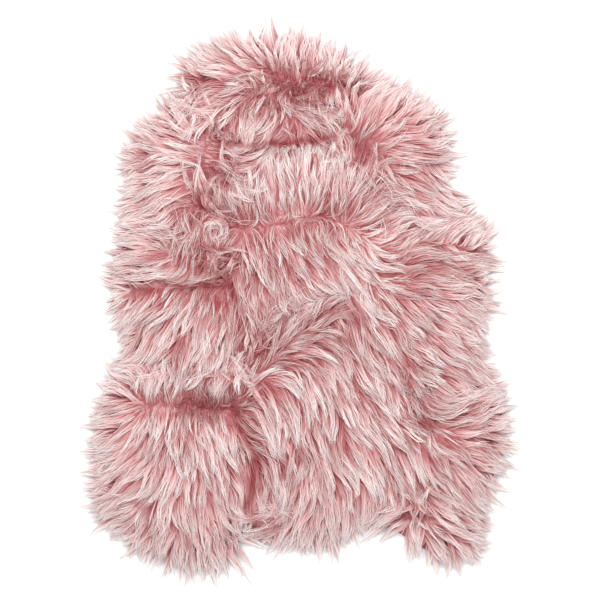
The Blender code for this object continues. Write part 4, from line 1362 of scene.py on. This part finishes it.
def shaded(places):
    """What the furrows and the lines of the partings leave of the light, for the painted shade, and how much
    paler the open roots near a parting are painted.
    """
    near = np.min([nearest_on_line(places, parting)[1] for parting in PARTINGS], axis=0)
    light = 1 - LINE_SHADE * np.exp(-((near / LINE_WIDTH) ** 2))
    for furrow in FURROWS:
        far = nearest_on_line(places, furrow)[1] / (furrow.width * MM)
        light *= 1 - furrow.shade * np.exp(-(far**2))
    return light, ROOTS_SHOWN * np.exp(-((near / ROOTS_REACH) ** 2))


left, _ = shaded(np.array([[PARTINGS[0].x0, PARTINGS[0].y0]]) * MM)
print("on the first parting's line this share of the light is left:", left.round(2))

# %% Painted shade: deeper rose in the depth of the pile
SOAK = 0.72  # how much light one layer of fibre takes
RIM_LIGHT = 0.70  # how much less it takes at the rim, where light comes in from the side
RIM_FADE = 0.028  # over this way out from the rim, the strands fade to the paleness of tips
DEEP_TONE = 0.25  # how much less pale a strand is painted with no light at all
RIM_TONE = 0.1  # how much paler it is out at the rim
RIM_START = 0.4  # and so far along towards the tip's colour, even at its root
RUFFLE_SHADE = 0.7  # painted shade: the ruffles stay nearer to the root's colour
MAP_CELLS = 2  # cells of the grid for each place of the map of the rim

map_y, map_x = np.mgrid[-GRID_FOOT:GRID_FOOT:250j, -GRID_LEFT:GRID_LEFT:200j]
OUT_MAP = outside_rim(np.column_stack([map_x.ravel(), map_y.ravel()])).reshape(map_x.shape)


def paint_depth_shade(piece):
    """Paints shade into the UV map: moves u and v of deep points towards the colours of the root."""
    places = places_of(piece)
    level, row, column = cells_of(places)
    left, start = shaded(wandered(places[:, :2]))
    out = OUT_MAP[row // MAP_CELLS, column // MAP_CELLS]
    soak = SOAK * (1 - RIM_LIGHT * np.exp(np.minimum(out, 0) / RIM_PALE_REACH))
    light = np.exp(-soak * above[level, row, column]) * left
    over = np.clip(out / RIM_FADE, 0, 1) * light
    start = np.maximum(start, RIM_START * over)
    corner = np.empty(len(piece.data.loops), np.int32)
    piece.data.loops.foreach_get("vertex_index", corner)
    layer = piece.data.uv_layers["OFBake"].uv
    uv = np.empty(len(corner) * 2, np.float32)
    layer.foreach_get("vector", uv)
    uv = uv.reshape(-1, 2)
    uv[:, 0] = np.clip(uv[:, 0] - DEEP_TONE * (1 - light[corner]) + RIM_TONE * over[corner], 0.004, 0.99)
    paleness = RUFFLE_SHADE if piece.name == "ruffles" else 1.0
    uv[:, 1] = (uv[:, 1] + (1 - uv[:, 1]) * start[corner]) * light[corner] * paleness
    layer.foreach_set("vector", uv.ravel())
    return light.mean()


print("mean light:", [round(float(paint_depth_shade(piece)), 2) for piece in pile_pieces])

print("added in all:", sum(triangles(p) for p in [backing, underwool, *pile_pieces]), "triangles")

# %% [markdown]
# ## What each piece is to the frame
# The backing is the sheet of cloth, laid flat, and the wool and the pile go with it. All of them stand for
# the one solid of the frame.

# %% Frame calls
pieces = [backing, underwool, *pile_pieces]
for piece in pieces:
    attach(piece, "root")
    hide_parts("pelt")

# %% [markdown]
# ## Floor, light and camera
# The photograph looks straight down on the rug in a shadowless white studio. A large soft light above, a
# little towards the head, and a bright world give that. The camera's height and lens keep the photograph's
# scale.

# %% Floor and world
FLOOR_HALF = 6.0
FLOOR_LEVEL = -0.0004
FLOOR_WHITE = 0.96
WORLD_LIGHT = 1.1


def white_floor():
    corners = [(x * FLOOR_HALF, y * FLOOR_HALF, FLOOR_LEVEL) for x, y in ((-1, -1), (1, -1), (1, 1), (-1, 1))]
    mesh = bpy.data.meshes.new("floor")
    mesh.from_pydata(corners, [], [(0, 1, 2, 3)])
    material, _, shader = new_material("white_floor", 0.9, 0.0)
    shader.inputs["Base Color"].default_value = (FLOOR_WHITE, FLOOR_WHITE, FLOOR_WHITE, 1.0)
    floor = add_piece(mesh, material, False)


def bright_world():
    world = bpy.data.worlds.new("studio")
    world.use_nodes = True
    world.node_tree.nodes["Background"].inputs["Color"].default_value = (1.0, 1.0, 1.0, 1.0)
    world.node_tree.nodes["Background"].inputs["Strength"].default_value = WORLD_LIGHT
    bpy.context.scene.world = world


white_floor()
bright_world()
bpy.context.scene.view_settings.view_transform = "Standard"
print("the floor is", 2 * FLOOR_HALF, "m wide and", FLOOR_WHITE, "white")

# %% Soft light
LAMP_SIZE = (1.8, 1.4)
LAMP_ENERGY = 34.0
LAMP_PLACE = (0.0, 0.9, 1.9)
LAMP_TILT = math.radians(-25)


def softbox():
    lamp = bpy.data.lights.new("softbox", "AREA")
    lamp.shape = "RECTANGLE"
    lamp.size, lamp.size_y = LAMP_SIZE
    lamp.energy = LAMP_ENERGY
    box = bpy.data.objects.new("softbox", lamp)
    box.location = LAMP_PLACE
    box.rotation_euler = (LAMP_TILT, 0.0, 0.0)
    bpy.context.scene.collection.objects.link(box)


softbox()
print("a softbox of", LAMP_SIZE, "m at", LAMP_PLACE)

# %% Camera
METRES_PER_PIXEL = 0.0016
IMAGE_WIDTH, IMAGE_HEIGHT = 599, 600
ORIGIN_PIXEL = (298.0, 302.5)  # where the frame's origin lies in the photograph
CAMERA_HEIGHT = 3.0
RIM_LEVEL = 0.01  # the height at which the scale holds

lens = bpy.data.cameras.new("camera")
lens.sensor_fit = "HORIZONTAL"
lens.angle = 2 * math.atan(IMAGE_WIDTH * METRES_PER_PIXEL / 2 / (CAMERA_HEIGHT - RIM_LEVEL))
camera = bpy.data.objects.new("camera", lens)
camera.location = ((IMAGE_WIDTH / 2 - ORIGIN_PIXEL[0]) * METRES_PER_PIXEL,
                   (ORIGIN_PIXEL[1] - IMAGE_HEIGHT / 2) * METRES_PER_PIXEL, CAMERA_HEIGHT)
bpy.context.scene.collection.objects.link(camera)
bpy.context.scene.camera = camera
print("camera over", [round(c, 4) for c in camera.location], "with a lens of", round(lens.lens, 1), "mm")

# %% The scene brought up to date
bpy.context.view_layer.update()
